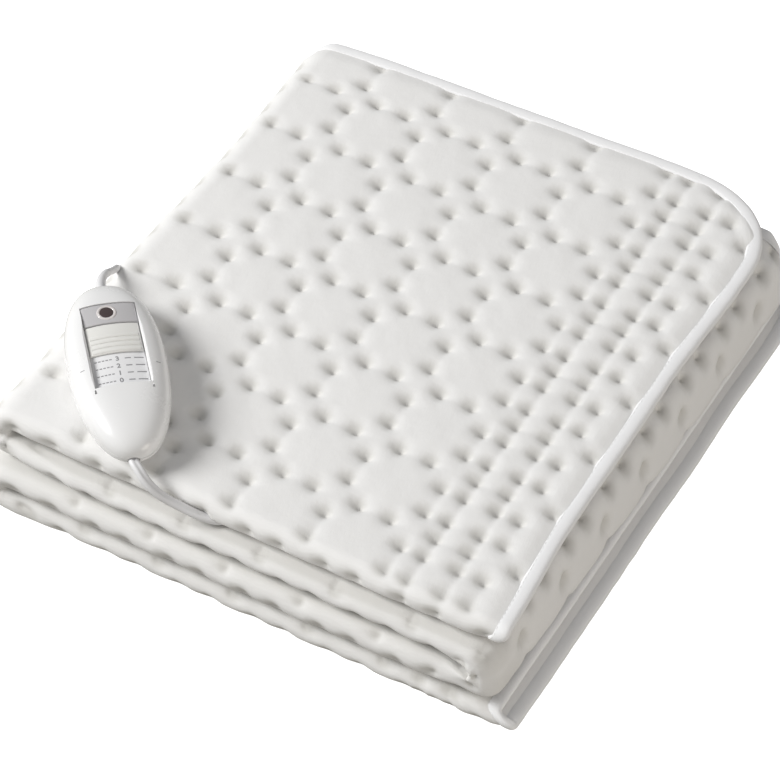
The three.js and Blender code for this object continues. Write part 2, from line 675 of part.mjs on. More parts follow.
function coilSection(grow, slack = 0) {
  const [w, h] = [coilWide / 2 + grow + slack, coilHigh / 2 + grow];
  const bevel = 1.6;
  return [[-w + bevel, -h], [w - bevel, -h], [w, -h + bevel], [w, h - bevel],
    [w - bevel, h], [-w + bevel, h], [-w, h - bevel], [-w, -h + bevel]];
}

function coilMesh() {
  const profile = coilSection(0).map(([x, y]) => new THREE.Vector2(COIL_RADIUS + x, y));
  const ring = new THREE.LatheGeometry([...profile, profile[0]], COIL_SIDES);
  ring.rotateX(Math.PI / 2);
  ring.translate(COIL_AT[0] * PITCH, -COIL_AT[1] * PITCH, coilBase + coilHigh / 2);
  return geometryOf(solidOf(facingOut(mergeVertices(bareOf(ring), 1e-4))));
}

function bareOf(geometry) {
  const bare = geometry.clone();
  bare.deleteAttribute('normal');
  bare.deleteAttribute('uv');
  return bare;
}

function tieMesh() {
  const flatPoints = (section) => section.map(([x, y]) => new THREE.Vector2(x, y));
  const outline = new THREE.Shape(flatPoints(coilSection(TOUCH + TIE_THICK, TIE_SLACK)));
  outline.holes.push(new THREE.Path(flatPoints(coilSection(TOUCH, TIE_SLACK))));
  const band = new THREE.ExtrudeGeometry(outline, { depth: TIE_WIDE, bevelEnabled: false });
  band.translate(COIL_RADIUS, 0, -TIE_WIDE / 2);
  band.rotateX(Math.PI / 2);
  band.rotateZ(TIE_FACET / COIL_SIDES * 2 * Math.PI);
  band.translate(COIL_AT[0] * PITCH, -COIL_AT[1] * PITCH, coilBase + coilHigh / 2);
  return band;
}

// Plug: a flat two-pin body lying on its wide face, its pins away from the coil
const tailX = COIL_AT[0] * PITCH - COIL_RADIUS - 1.5 * MAINS_THICK;
const tailStart = -(COIL_AT[1] - 0.36) * PITCH;
const TAIL_LONG = 20;
const PLUG_RELIEF = 24;
const PLUG_LONG = 33;
const PLUG_WIDE = 35.3;
const PLUG_THICK = 13.7;
const PIN_LONG = 19;
const PIN_THICK = 4;
const PIN_APART = 18.6;
const plugAxis = PLUG_THICK / 2;


// The tail lies on the floor and rises in a gentle S to the middle of the plug
const tailCurve = new THREE.CatmullRomCurve3(even(0, 1, 8).map((t) => new THREE.Vector3(
  tailX, tailStart + t * TAIL_LONG, mix(MAINS_THICK / 2, plugAxis, smooth(t)))), false, 'centripetal');
const plugReliefFrom = tailStart + TAIL_LONG + TOUCH;
const plugFrom = plugReliefFrom + PLUG_RELIEF + TOUCH;

function roundedLoft(sections, sides = 20) {
  return loft(sections.map(([y, halfX, halfZ, x, z, power]) => Array.from({ length: sides }, (_, j) => {
    const angle = (j + 0.5) / sides * 2 * Math.PI;
    const [c, s] = [Math.cos(angle), Math.sin(angle)];
    return new THREE.Vector3(
      x + Math.sign(c) * Math.abs(c) ** power * halfX, y, z + Math.sign(s) * Math.abs(s) ** power * halfZ);
  })));
}

function plugRelief() {
  return roundedLoft([
    [plugReliefFrom, 2.7, 2.7, tailX, plugAxis, 1],
    [plugReliefFrom + PLUG_RELIEF, 4.6, 4.3, tailX, plugAxis, 1],
  ], 12);
}

function plugBody() {
  const [w, t] = [PLUG_WIDE / 2, PLUG_THICK / 2];
  const at = (y, wide, thick) => [plugFrom + y, w * wide, t * thick, tailX, plugAxis, 0.45];
  return roundedLoft([
    at(0, 0.36, 0.8), at(6, 0.62, 0.93), at(12, 0.86, 0.98), at(18, 0.97, 1), at(26, 1, 1),
    at(PLUG_LONG - 1.2, 1, 1), at(PLUG_LONG, 0.95, 0.9),
  ], 24);
}

function plugPin(side) {
  const from = new THREE.Vector3(tailX + side * PIN_APART / 2, plugFrom + PLUG_LONG + TOUCH, plugAxis);
  return cylinderAlong(PIN_THICK / 2, from, from.clone().add(new THREE.Vector3(0, PIN_LONG - TOUCH, 0)), 12);
}

function mainsRelief() {
  const sections = [[MAINS_EXIT.y + TOUCH, RELIEF_THICK / 2], [MAINS_EXIT.y + 6, RELIEF_THICK / 2],
    [reliefEnd, MAINS_THICK / 2 + 0.35]];
  return roundedLoft(sections.map(([y, r]) => [y, r, r, MAINS_EXIT.x, MAINS_EXIT.z, 1]), 12);
}

// Finishes, with the colours of the real object
const finish = (colour, roughness, metalness = 0) => new THREE.MeshStandardMaterial({
  color: colour, roughness, metalness });
const cloth = finish(0xe9e7e3, 0.95);
const tape = finish(0xf4f4f6, 0.85);
const whitePlastic = finish(0xf1f1f1, 0.3);
const ivoryPlastic = finish(0xe6e5e0, 0.4);
const lensPlastic = finish(0xb9b9bb, 0.15);
const leadPlastic = finish(0xe2e2e4, 0.45);
const pinMetal = finish(0xc8c9cc, 0.25, 1);

const pad = new THREE.Group();
const onSwitch = new THREE.Group();
onSwitch.applyMatrix4(switchMatrix);

function put(group, name, geometry, material) {
  const mesh = new THREE.Mesh(geometry, material);
  mesh.name = name;
  group.add(mesh);
  return mesh;
}

// The pad lead slips between the top two layers, which make way for it
const leadWay = tubeAlong(padLeadCurve, PAD_LEAD_WIDE + 0.9, PAD_LEAD_WIDE + 0.9, 34, 10);
const quilted = solidOf(facingOut(padMesh())).subtract(solidOf(leadWay));
put(pad, 'pad', geometryOf(quilted), cloth);
put(pad, 'binding', bindingMesh(), tape);

const shells = switchShells();
put(onSwitch, 'switch_lower_shell', shells.lower, whitePlastic);
put(onSwitch, 'switch_upper_shell', shells.upper, whitePlastic);
put(onSwitch, 'switch_window', switchWindow(), lensPlastic);
put(onSwitch, 'switch_label', switchLabel(), whitePlastic);
put(onSwitch, 'switch_slider', switchSlider(), ivoryPlastic);
pad.add(onSwitch);

const leads = new THREE.Group();
const mainsReliefMesh = put(leads, 'mains_relief', mainsRelief(), leadPlastic);
mainsReliefMesh.applyMatrix4(switchMatrix);
put(leads, 'pad_lead', tubeAlong(padLeadCurve, PAD_LEAD_WIDE, PAD_LEAD_THICK, 30, 10), leadPlastic);
put(leads, 'mains_lead', tubeAlong(mainsCurve, MAINS_THICK, MAINS_THICK, 46, 8), leadPlastic);
put(leads, 'lead_coil', coilMesh(), leadPlastic);
put(leads, 'coil_tie', tieMesh(), whitePlastic);
put(leads, 'lead_tail', tubeAlong(tailCurve, MAINS_THICK, MAINS_THICK, 6, 8), leadPlastic);
put(leads, 'plug_relief', plugRelief(), whitePlastic);
put(leads, 'plug_body', plugBody(), whitePlastic);
put(leads, 'plug_pin_left', plugPin(-1), pinMetal);
put(leads, 'plug_pin_right', plugPin(1), pinMetal);

// The origin lies on the floor under the middle of the pad
const box = new THREE.Box3().setFromObject(pad, true);
const middle = box.getCenter(new THREE.Vector3());
const model = new THREE.Group();
model.add(pad, leads);
model.position.set(-middle.x, -middle.y, 0);

export default model;
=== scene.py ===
"""A folded heated mattress pad with its hand switch and leads.

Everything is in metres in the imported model's own frame: +Z up, the folded front at -Y.
The cloth's own unit is one repeat of its welded dot pattern.
"""
import logging
from bisect import bisect_left, bisect_right
from dataclasses import dataclass, field
from enum import Enum
from math import asin, ceil, copysign, cos, inf, pi, radians, sin, sqrt
from typing import Iterable, Sequence

import bpy
import numpy as np
from bpy.types import ID, Curve, Material, Mesh, Node, NodeSocket, NodeTree, Object
from mathutils import Matrix, Vector


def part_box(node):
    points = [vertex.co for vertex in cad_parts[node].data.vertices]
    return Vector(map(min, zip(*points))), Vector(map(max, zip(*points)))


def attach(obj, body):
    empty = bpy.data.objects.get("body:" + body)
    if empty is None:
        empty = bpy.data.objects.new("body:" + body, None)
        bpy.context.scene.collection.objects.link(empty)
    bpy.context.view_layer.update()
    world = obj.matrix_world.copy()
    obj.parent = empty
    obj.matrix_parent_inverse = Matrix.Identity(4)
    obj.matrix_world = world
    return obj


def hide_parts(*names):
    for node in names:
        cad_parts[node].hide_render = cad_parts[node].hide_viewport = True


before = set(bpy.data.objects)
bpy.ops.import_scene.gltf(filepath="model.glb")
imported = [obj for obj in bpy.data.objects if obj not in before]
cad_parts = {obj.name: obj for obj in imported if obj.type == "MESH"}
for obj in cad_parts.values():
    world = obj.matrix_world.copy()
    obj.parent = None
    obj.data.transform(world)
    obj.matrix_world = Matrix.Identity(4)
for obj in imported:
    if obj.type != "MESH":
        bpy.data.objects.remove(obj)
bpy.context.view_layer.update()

log = logging.getLogger("mattress_pad")

MM = 0.001
PITCH = 0.047  # one repeat of the welded dot pattern
ROWS_ALONG = (0.0, 1 - sqrt(0.5), sqrt(0.5))  # rows of dots in one repeat, along the pad
ROWS_ACROSS = (0.0, sqrt(2) - 1, sqrt(0.5))  # and across it
COIL_AT = (-2.35, 3.45)  # the coil's middle, right and forward, in repeats
TOUCH = 0.3 * MM  # gap between two pieces that touch

Array = np.ndarray
Values = float | np.ndarray
Pair = tuple[float, float]
Triple = tuple[float, float, float]
Colour = Triple


def mix(a: Values, b: Values, t: Values) -> Values:
    """A value between a and b at share t."""
    return a + (b - a) * t


def smooth(t: Values) -> Values:
    """An S-shaped rise from 0 to 1 as t goes from 0 to 1."""
    held = np.clip(t, 0.0, 1.0)
    return held * held * (3 - 2 * held)


def powered(wave: Array, power: float) -> Array:
    """A sine or cosine with its size raised to a power: below 1 squares a circle, above 1 points it."""
    return np.sign(wave) * np.abs(wave) ** power


def round_turn(count: int) -> Array:
    """Angles of even steps round a whole turn."""
    return np.arange(count) / count * 2 * pi


def run_along(line: Array) -> Array:
    """How far along a line of points each of them lies."""
    return np.concatenate([[0], np.cumsum(np.linalg.norm(np.diff(line, axis=0), axis=1))])


def at_places(line: Array, places: Array) -> Array:
    """The points of a line at distances along it."""
    along = run_along(line)
    return np.stack([np.interp(places, along, line[:, i]) for i in range(3)], axis=-1)


class Ripple:
    """Smooth unevenness with a fixed seed: waves in scattered directions, added up."""

    def __init__(self, seed: int, length: float, waves: int = 9) -> None:
        """Draws the waves.

        Args:
            seed: fixes the waves, so that every run gives the same surface.
            length: the usual distance between two crests.
            waves: how many are added up.
        """
        rng = np.random.default_rng(seed)
        heading = rng.uniform(0, 2 * pi, waves)
        size = 2 * pi / (length * rng.uniform(0.6, 1.6, waves))
        self.along, self.across = size * np.cos(heading), size * np.sin(heading)
        self.shift = rng.uniform(0, 2 * pi, waves)

    def at(self, a: Array, b: Values = 0.0) -> Array:
        """Height at each place (a, b), mostly between -1 and 1."""
        total = sum(np.sin(p * a + q * b + h) for p, q, h in zip(self.along, self.across, self.shift))
        return total / sqrt(2 * len(self.shift))


# Shapes of the folded cloth

@dataclass(frozen=True)
class Layer:
    """One double layer of the folded pad, in repeats of the dot pattern."""

    mid: float  # height of its middle
    thick: float
    front: float  # how far its front roll reaches
    phase: float  # where the dot pattern's origin lies


@dataclass(frozen=True)
class Fold:
    """A half-round fold between two double layers, in repeats."""

    x: float  # its centre
    z: float
    radius: float  # of the double layer's middle line
    side: int  # 1 on the right, -1 on the left
    thick_in: float  # of the double layer above
    thick_out: float  # and of the one below

    @property
    def length(self) -> float:
        """Length of the fold's middle line."""
        return pi * (self.radius + (self.thick_in + self.thick_out) / 4)


@dataclass(frozen=True)
class Stretch:
    """A part of the path along the pad: a straight layer or a fold."""

    is_fold: bool
    k: int  # which layer it is, or which one the fold is under
    start: float
    end: float


@dataclass
class Spot:
    """Where points of the double layer lie: one value for each point, in repeats."""

    x: Array  # middle of the double layer
    z: Array
    nx: Array  # which way is up out of its upper face
    nz: Array
    thick: Array
    front: Array  # how far the front roll reaches
    phase: Array  # where the dot pattern's origin lies


@dataclass
class FoldedPath:
    """The pad's way through its folds, seen from the front, in repeats."""

    layers: tuple[Layer, ...] = (
        Layer(1.3175, 0.370, 3.575, 3.67),
        Layer(0.9725, 0.285, 3.74, 3.81),
        Layer(0.6025, 0.420, 3.84, 3.60),
        Layer(0.1875, 0.375, 3.80, 3.81),
    )
    top_end: float = 5.47  # the short end on the top layer
    base_end: float = 5.88  # and the one on the bottom layer
    left_reach: Pair = (-1.10, -1.15)
    right_reach: float = 5.60
    layer_gap: float = 0.0175
    ply_gap: float = 0.016
    ease: float = 0.8  # stretch over which a layer's thickness eases into a fold's
    flat_depth: float = 7.58  # from the front rolls to the long edges
    corner: Pair = (1.15, 0.35)  # radii, at the top end and at the base end
    corner_reach: float = 1.9  # how far from the long edges the corners draw the cloth in
    left_corners: Pair = (0.5, 0.10)  # radii of the left folds' back and front corners
    right_corners: Pair = (0.4, 0.28)
    back_slant: float = 0.037  # how much further back the long edges lie for each repeat to the right
    back_short: float = 0.075  # how much less far back the top layer reaches
    lean: float = 0.30  # how far the right fold leans out over its own height
    askew: float = 0.0267  # how much further out it lies for each repeat to the back
    under: Pair = (0.10, 0.22)  # how far the inner ply is drawn in, top and base
    pinch: float = 0.12  # how much thinner a roll is where it lies on another
    puff: float = 0.75  # how far the inside of the right fold bulges out at the front
    top_flare: Pair = (0.07, 0.09)  # how far the top end turns out behind and in front
    base_askew: float = 0.011
    left_bulge: Pair = (0.15, 0.05)  # of the left folds towards the front, and at their corners
    sway: float = 0.006  # how much the front rolls wander
    ripple: Ripple = field(default_factory=lambda: Ripple(11, 1.7))
    folds: list[Fold] = field(init=False)
    ends: list[float] = field(init=False)
    stretches: list[Stretch] = field(init=False)
    length: float = field(init=False)
    origin: Vector = field(init=False)

    def __post_init__(self) -> None:
        """Works out the folds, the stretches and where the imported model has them."""
        self.folds = [
            self._fold(0, self.left_reach[0], -1),
            self._fold(1, self.right_reach, 1),
            self._fold(2, self.left_reach[1], -1),
        ]
        self.ends = [self.top_end, *(f.x for f in self.folds), self.base_end]
        self.stretches, at = [], 0.0
        for k in range(len(self.layers)):
            end = at + abs(self.ends[k + 1] - self.ends[k])
            self.stretches.append(Stretch(False, k, at, end))
            at = end
            if k < len(self.folds):
                self.stretches.append(Stretch(True, k, at, at + self.folds[k].length))
                at += self.folds[k].length
        self.length = at
        low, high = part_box("lead_coil")
        self.origin = Vector(((low.x + high.x) / 2 - COIL_AT[0] * PITCH,
                              (low.y + high.y) / 2 + COIL_AT[1] * PITCH, 0))

    @property
    def edge(self) -> float:
        """The cross-wise place of the pad's long edges."""
        return 1 + self.flat_depth

    @property
    def top(self) -> float:
        """Height of the crowns of the top layer, in metres."""
        return (self.layers[0].mid + self.layers[0].thick / 2) * PITCH

    def _fold(self, k: int, reach: float, side: int) -> Fold:
        """The fold under layer k whose outer face reaches to a place on that side."""
        above, below = self.layers[k], self.layers[k + 1]
        radius = (above.mid - below.mid) / 2
        most = 2 * radius - self.layer_gap
        thick_in, thick_out = min(above.thick, most), min(below.thick, most)
        outer = radius + max(thick_in, thick_out) / 2
        return Fold(reach - side * outer, (above.mid + below.mid) / 2, radius, side, thick_in, thick_out)

    def at(self, s: Array) -> Spot:
        """Place, upward side and thickness of the double layer at distances s along the path."""
        s = np.asarray(s, float)
        spot = Spot(*(np.zeros_like(s) for _ in range(7)))
        last = len(self.stretches) - 1
        for i, stretch in enumerate(self.stretches):
            here = ((s > stretch.start) | (i == 0)) & ((s <= stretch.end) | (i == last))
            fill = self._on_fold if stretch.is_fold else self._on_layer
            for name, value in fill(stretch, s[here]).items():
                getattr(spot, name)[here] = value
        return spot

    def _on_layer(self, stretch: Stretch, s: Array) -> dict[str, Array | float]:
        """The values of a spot on a straight layer."""
        k, layer = stretch.k, self.layers[stretch.k]
        lead = self.folds[k - 1].thick_out if k > 0 else layer.thick
        trail = self.folds[k].thick_in if k < len(self.folds) else layer.thick
        into = np.clip((s - stretch.start) / self.ease, 0, 1)
        out = np.clip((stretch.end - s) / self.ease, 0, 1)
        before = self.layers[k - 1] if k > 0 else layer
        change = smooth((s - stretch.start) / self.ease)
        return {
            "x": self.ends[k] + (1 if k % 2 else -1) * (s - stretch.start),
            "z": layer.mid, "nx": 0.0, "nz": -1.0 if k % 2 else 1.0,
            "thick": mix(lead, layer.thick, into) + mix(trail, layer.thick, out) - layer.thick,
            "front": mix(mix(before.front, layer.front, 0.5), layer.front, change),
            "phase": mix(before.phase, layer.phase, change),
        }

    def _on_fold(self, stretch: Stretch, s: Array) -> dict[str, Array | float]:
        """The values of a spot on a fold."""
        k, fold, layer = stretch.k, self.folds[stretch.k], self.layers[stretch.k]
        turn = np.clip((s - stretch.start) / fold.length, 0, 1)
        dx, dz = fold.side * np.sin(turn * pi), np.cos(turn * pi)
        up = -1 if k % 2 else 1
        return {
            "x": fold.x + fold.radius * dx, "z": fold.z + fold.radius * dz,
            "nx": up * dx, "nz": up * dz, "thick": mix(fold.thick_in, fold.thick_out, turn),
            "front": mix(layer.front, mix(layer.front, self.layers[k + 1].front, 0.5), smooth(turn)),
            "phase": layer.phase,
        }

    def place(self, s: Array, w: Array, r: Array) -> Array:
        """Points of the folded cloth, in metres.

        Args:
            s: distance along the path, in repeats.
            w: place across it: -1 to 1 is the front roll, and past that the flat plies.
            r: distance from the middle of the double layer, in repeats.

        Returns:
            One row (x, y, z) for each point.
        """
        at = self.at(s)
        flat = np.maximum(0, np.abs(w) - 1)
        turn = np.clip(w, -1, 1) * pi / 2
        wander = self.sway * self.ripple.at(s, at.z) * np.exp(-((flat / 1.2) ** 2))
        short = self.back_short * (1 - smooth((s - self.stretches[1].start) / self.folds[0].length))
        slant = (self.back_slant * (np.clip(at.x, -1, 4) - 1.5) - short) * smooth((flat - 6.3) / 0.9)
        forward = at.front - at.thick / 2 - wander - flat - slant + r * np.cos(turn)
        across = r * np.sin(turn) * (1 - self.pinch * self.touching(s, w))
        forward = forward + self._puffed(s, w) * at.thick / 2
        x, z = at.x + across * at.nx, at.z + across * at.nz
        ends = self.under[0] * (1 - smooth(s / 1.2)), self.under[1] * (1 - smooth((self.length - s) / 1.2))
        x = x - (ends[0] + ends[1]) * smooth((0.3 - w) / 1.0)
        left = np.where(s < self.stretches[3].start, *self.left_reach)
        x, forward = self._cornered(x, forward, at, left, -1, self.left_corners)
        inner = (s > self.stretches[2].start) & (s <= self.stretches[4].end)
        right = np.where(inner, self.right_reach, inf)
        x, forward = self._cornered(x, forward, at, right, 1, self.right_corners)
        x, z = self._slumped(s, x, z, forward)
        return np.stack([x, -forward, z], axis=-1) * PITCH + np.array(self.origin)

    def touching(self, s: Array, w: Array) -> Array:
        """How near each point is to where its roll lies on another one, from 0 to 1."""
        first, last = self.stretches[1], self.stretches[5]
        free = (w > 0) & ((s < (first.start + first.end) / 2) | (s > (last.start + last.end) / 2))
        return np.exp(-(((np.abs(w) - 1) / 0.36) ** 2)) * np.abs(self.at(s).nz) * ~free

    def _puffed(self, s: Array, w: Array) -> Array:
        """How far the inner ply of the right fold bulges out at the front, as a share."""
        fold = self.stretches[3]
        inside = smooth((s - fold.start + 0.35) / 0.4) * smooth((fold.end + 0.35 - s) / 0.4)
        return self.puff * inside * smooth(w / 0.9) * (1 - smooth((w - 1.1) / 1.4))

    def _cornered(self, x: Array, forward: Array, at: Spot, reach: Array, side: int,
                  radii: Pair) -> tuple[Array, Array]:
        """Rounds the corners of a fold, seen from above.

        Args:
            x: places to the right, in repeats.
            forward: places forward.
            at: the spots that they belong to.
            reach: how far the fold reaches.
            side: 1 for a fold on the right, -1 for one on the left.
            radii: of the back corner and of the front corner.

        Returns:
            The new places to the right and forward.
        """
        edges = ((-1, at.front - at.thick / 2 - self.flat_depth), (1, at.front))
        for radius, (facing, edge) in zip(radii, edges):
            a = np.clip(side * (x - reach) / radius + 1, 0, 1.2)
            b = np.clip(facing * (forward - edge) / radius + 1, 0, 1.2)
            x = x - side * radius * a * (1 - np.sqrt(1 - b**2 / 2))
            forward = forward - facing * radius * b * (1 - np.sqrt(1 - a**2 / 2))
        return x, forward

    def _slumped(self, s: Array, x: Array, z: Array, forward: Array) -> tuple[Array, Array]:
        """Lets the right fold sink and lean out, the left ones bulge and the short ends lie askew.

        Args:
            s: distances along the path, in repeats.
            x: places to the right.
            z: heights.
            forward: places forward.

        Returns:
            The new places to the right and the new heights.
        """
        fold, turned = self.folds[1], self.stretches[3]
        dx, dz = x - fold.x, z - fold.z
        square = np.hypot(dx, dz) / np.maximum((dx**4 + dz**4) ** 0.25, 1e-9)
        in_turn = (s > turned.start) & (s <= turned.end)
        x, z = np.where(in_turn, fold.x + dx * square, x), np.where(in_turn, fold.z + dz * square, z)
        held = (s > self.stretches[2].start) & (s <= self.stretches[4].end)
        top = fold.z + fold.radius + fold.thick_in / 2
        leaning = self.lean * np.clip(top - z, 0, None) - self.askew * forward
        x = x + held * smooth((x - 4.2) / 1.1) * leaning
        behind, ahead = self.top_flare
        flare = behind * smooth((-forward - 1) / 1.8) + ahead * smooth((forward - 1.8) / 1.7)
        x = x + (s <= self.stretches[0].end) * smooth((x - 4.3) / 1.0) * flare
        x = x - (s > self.stretches[6].start) * smooth((x - 4.6) / 1.0) * self.base_askew * forward
        along, corner = self.left_bulge
        bulge = along * smooth((forward + 2.3) / 3.4) + corner * smooth((forward - 2.6) / 0.6)
        return x - bulge * smooth((-0.1 - x) / 0.9), z

    def point(self, u: float, v: float, h: float) -> Vector:
        """A point given in repeats to the right, forward and up from the floor."""
        return Vector((u, -v, h)) * PITCH + self.origin

    def cloth_across(self, s: Array, w: Array) -> Array:
        """Distance across the cloth from the middle of the front roll, in repeats."""
        quarter = pi / 4 * self.at(s).thick
        return np.where(np.abs(w) <= 1, w * quarter, np.sign(w) * (quarter + np.abs(w) - 1))

    def drawn_in(self, s: Array, w: Array) -> Array:
        """Draws the edges of the rectangular layout in to the rounded corners."""
        from_end = np.minimum(s, self.length - s)
        corner = np.where(s < self.length / 2, *self.corner)
        inset = corner - np.sqrt(np.maximum(0, corner**2 - np.maximum(0, corner - from_end) ** 2))
        start = self.flat_depth - self.corner_reach
        flat = np.abs(w) - 1
        share = (self.corner_reach - inset) / self.corner_reach
        return np.where(flat <= start, w, np.sign(w) * (1 + start + (flat - start) * share))


@dataclass
class Quilting:
    """The welded dot pattern: eight-sided and four-sided crowns between welded dots."""

    dots: tuple[Pair, ...] = (
        (0.0, 0.0), (0.0, ROWS_ACROSS[1]), (ROWS_ALONG[1], ROWS_ACROSS[2]), (ROWS_ALONG[2], ROWS_ACROSS[2]))
    seams: tuple[tuple[int, int], ...] = ((0, 1), (2, 3), (1, 2))
    border: Pair = (0.763, 1.177)  # rows of dots along each short end
    weld_depth: float = 0.036
    weld_radius: float = 0.042
    bowl_depth: float = 0.042
    bowl_radius: float = 0.11
    bowl_shift: Pair = (0.05, 0.025)  # from the dot, along and across the pad
    # radius of the painted shade: a grey fan round each pit, set off from the dot like the bowl
    tint_radius: float = 0.115
    seam_depth: float = 0.008
    seam_width: float = 0.07
    furrow_depth: float = 0.012
    furrow_width: float = 0.06
    crown: float = 0.008
    crown_reach: float = 0.54  # from a dot to the middle of the largest crown
    unevenness: float = 0.13  # of the depths, as a share
    crumple_depth: float = 0.003
    uneven: Ripple = field(default_factory=lambda: Ripple(3, 1.3))
    crumple: Ripple = field(default_factory=lambda: Ripple(5, 0.55, 14))

    def _nearest(self, pu: Array, pv: Array) -> tuple[Array, Array]:
        """Distances to the nearest dot and to the nearest seam between two dots."""
        dot, seam = np.full_like(pu, 9.0), np.full_like(pu, 9.0)
        for shift_u in (-1, 0, 1):
            for shift_v in (-1, 0, 1):
                spots = [(x + shift_u, y + shift_v) for x, y in self.dots]
                for x, y in spots:
                    dot = np.minimum(dot, np.hypot(pu - x, pv - y))
                for a, b in self.seams:
                    (ax, ay), (bx, by) = spots[a], spots[b]
                    run = (bx - ax) ** 2 + (by - ay) ** 2
                    t = np.clip(((pu - ax) * (bx - ax) + (pv - ay) * (by - ay)) / run, 0, 1)
                    seam = np.minimum(seam, np.hypot(pu - ax - t * (bx - ax), pv - ay - t * (by - ay)))
        return dot, seam

    def _welds(self, u: Array, v: Array, from_end: Array) -> tuple[Array, Array]:
        """Distances to the nearest dot, rows along the ends included, and to the nearest seam."""
        dot, seam = self._nearest(u - np.floor(u), v - np.floor(v))
        to_row = np.min(np.abs((v - np.floor(v))[..., None] - (*ROWS_ACROSS, 1)), axis=-1)
        return np.minimum(dot, np.hypot(self._to_line(from_end), to_row)), seam

    def _to_line(self, from_end: Array) -> Array:
        """Distance to the nearest line of dots along a short end."""
        return np.min([np.abs(from_end - b) for b in self.border], axis=0)

    def relief(self, u: Array, v: Array, from_end: Array) -> tuple[Array, Array]:
        """How far the cloth lies below its crowns.

        Args:
            u: place in the pattern along the pad, in repeats.
            v: place in the pattern across the pad, in repeats.
            from_end: distance from the nearer short end, in repeats.

        Returns:
            The depth in repeats, and how much painted shade each point gets round the pits, from 0 to 1.
        """
        dot, seam = self._welds(u, v, from_end)
        du, dv = self.bowl_shift
        hollow = self._welds(u + du, v + dv, from_end - du)[0]
        amount = 1 + self.unevenness * self.uneven.at(u, v)
        weld = self.weld_depth * np.exp(-((dot / self.weld_radius) ** 2))
        bowl = self.bowl_depth * np.exp(-((hollow / self.bowl_radius) ** 2))
        valley = self.seam_depth * np.exp(-((seam / self.seam_width) ** 2))
        furrow = self.furrow_depth * np.exp(-((self._to_line(from_end) / self.furrow_width) ** 2))
        crown = self.crown * (1 - smooth(dot / self.crown_reach))
        depth = amount * (weld + bowl + np.maximum(valley, furrow)) + crown
        depth += self.crumple_depth * self.crumple.at(u, v)
        # the second value is painted shade round the pits, not a colour of the cloth
        return depth, np.exp(-((hollow / self.tint_radius) ** 4))


# Meshes

def mesh_of(name: str, points: Iterable, faces: Sequence[Sequence[int]]) -> Mesh:
    """A smooth-shaded mesh.

    Args:
        name: its name.
        points: one (x, y, z) for each point.
        faces: the numbers of each face's points.

    Returns:
        The mesh.
    """
    mesh = bpy.data.meshes.new(name)
    mesh.from_pydata([tuple(p) for p in points], [], faces)
    mesh.validate()
    mesh.shade_smooth()
    return mesh


def loft(name: str, rings: Array, hoop: bool = False) -> Mesh:
    """A closed skin over rings of points.

    Args:
        name: the mesh's name.
        rings: an array of rings, each with the same number of (x, y, z) points.
        hoop: the last ring joins the first; otherwise both ends get a cap.

    Returns:
        The mesh, with its faces pointing out and a UV map in metres.
    """
    count, around = rings.shape[:2]
    index = np.arange(count * around).reshape(count, around)
    faces = []
    for i in range(count if hoop else count - 1):
        a, b = index[i], index[(i + 1) % count]
        faces += [(a[j], a[(j + 1) % around], b[(j + 1) % around], b[j]) for j in range(around)]
    points = list(rings.reshape(-1, 3))
    if not hoop:
        for ring, turned in ((index[0], True), (index[-1], False)):
            points.append(np.mean([points[i] for i in ring], axis=0))
            hub = len(points) - 1
            for j in range(around):
                pair = (ring[j], ring[(j + 1) % around])
                faces.append((hub, *(pair[::-1] if turned else pair)))
    mesh = mesh_of(name, points, [tuple(int(i) for i in f) for f in faces])
    uv = np.zeros((len(points), 2))
    laid_out = np.meshgrid(run_along(rings[:, 0]), run_along(rings[0]), indexing="ij")
    uv[: count * around] = np.stack(laid_out, axis=-1).reshape(-1, 2)
    set_uv(mesh, uv)
    return facing_out(mesh)


def set_uv(mesh: Mesh, uv: Array) -> None:
    """Gives a mesh a UV map from one (u, v) for each point."""
    layer = mesh.uv_layers.new(name="cloth")
    corner = np.empty(len(mesh.loops), np.int32)
    mesh.loops.foreach_get("vertex_index", corner)
    layer.data.foreach_set("uv", uv[corner].astype(np.float32).ravel())


def facing_out(mesh: Mesh) -> Mesh:
    """Turns a closed mesh's faces round if its volume is below zero, so that they point out."""
    mesh.calc_loop_triangles()
    points = np.array([v.co for v in mesh.vertices])
    corners = np.empty(len(mesh.loop_triangles) * 3, np.int32)
    mesh.loop_triangles.foreach_get("vertices", corners)
    a, b, c = (points[corners[i::3]] for i in range(3))
    if np.einsum("ij,ij->i", a, np.cross(b, c)).sum() < 0:
        mesh.flip_normals()
    return mesh


def sharpen(mesh: Mesh, degrees: float = 32) -> Mesh:
    """Marks the edges that bend more than an angle as sharp."""
    mesh.shade_smooth()
    mesh.set_sharp_from_angle(angle=radians(degrees))
    return mesh


def object_of(data: ID, name: str) -> Object:
    """An object at the origin with a mesh, a curve, a light or a camera."""
    obj = bpy.data.objects.new(name, data)
    bpy.context.scene.collection.objects.link(obj)
    return obj


def baked(obj: Object, name: str) -> Mesh:
    """The mesh that an object's modifiers give; the object itself is removed."""
    graph = bpy.context.evaluated_depsgraph_get()
    mesh = bpy.data.meshes.new_from_object(obj.evaluated_get(graph), depsgraph=graph)
    mesh.name = name
    bpy.data.objects.remove(obj)
    return mesh


def line_curve(name: str, line: Array) -> Curve:
    """A curve of one open line of points."""
    curve = bpy.data.curves.new(name, "CURVE")
    curve.dimensions = "3D"
    spline = curve.splines.new("POLY")
    spline.points.add(len(line) - 1)
    spline.points.foreach_set("co", np.hstack([line, np.ones((len(line), 1))]).astype(np.float32).ravel())
    return curve


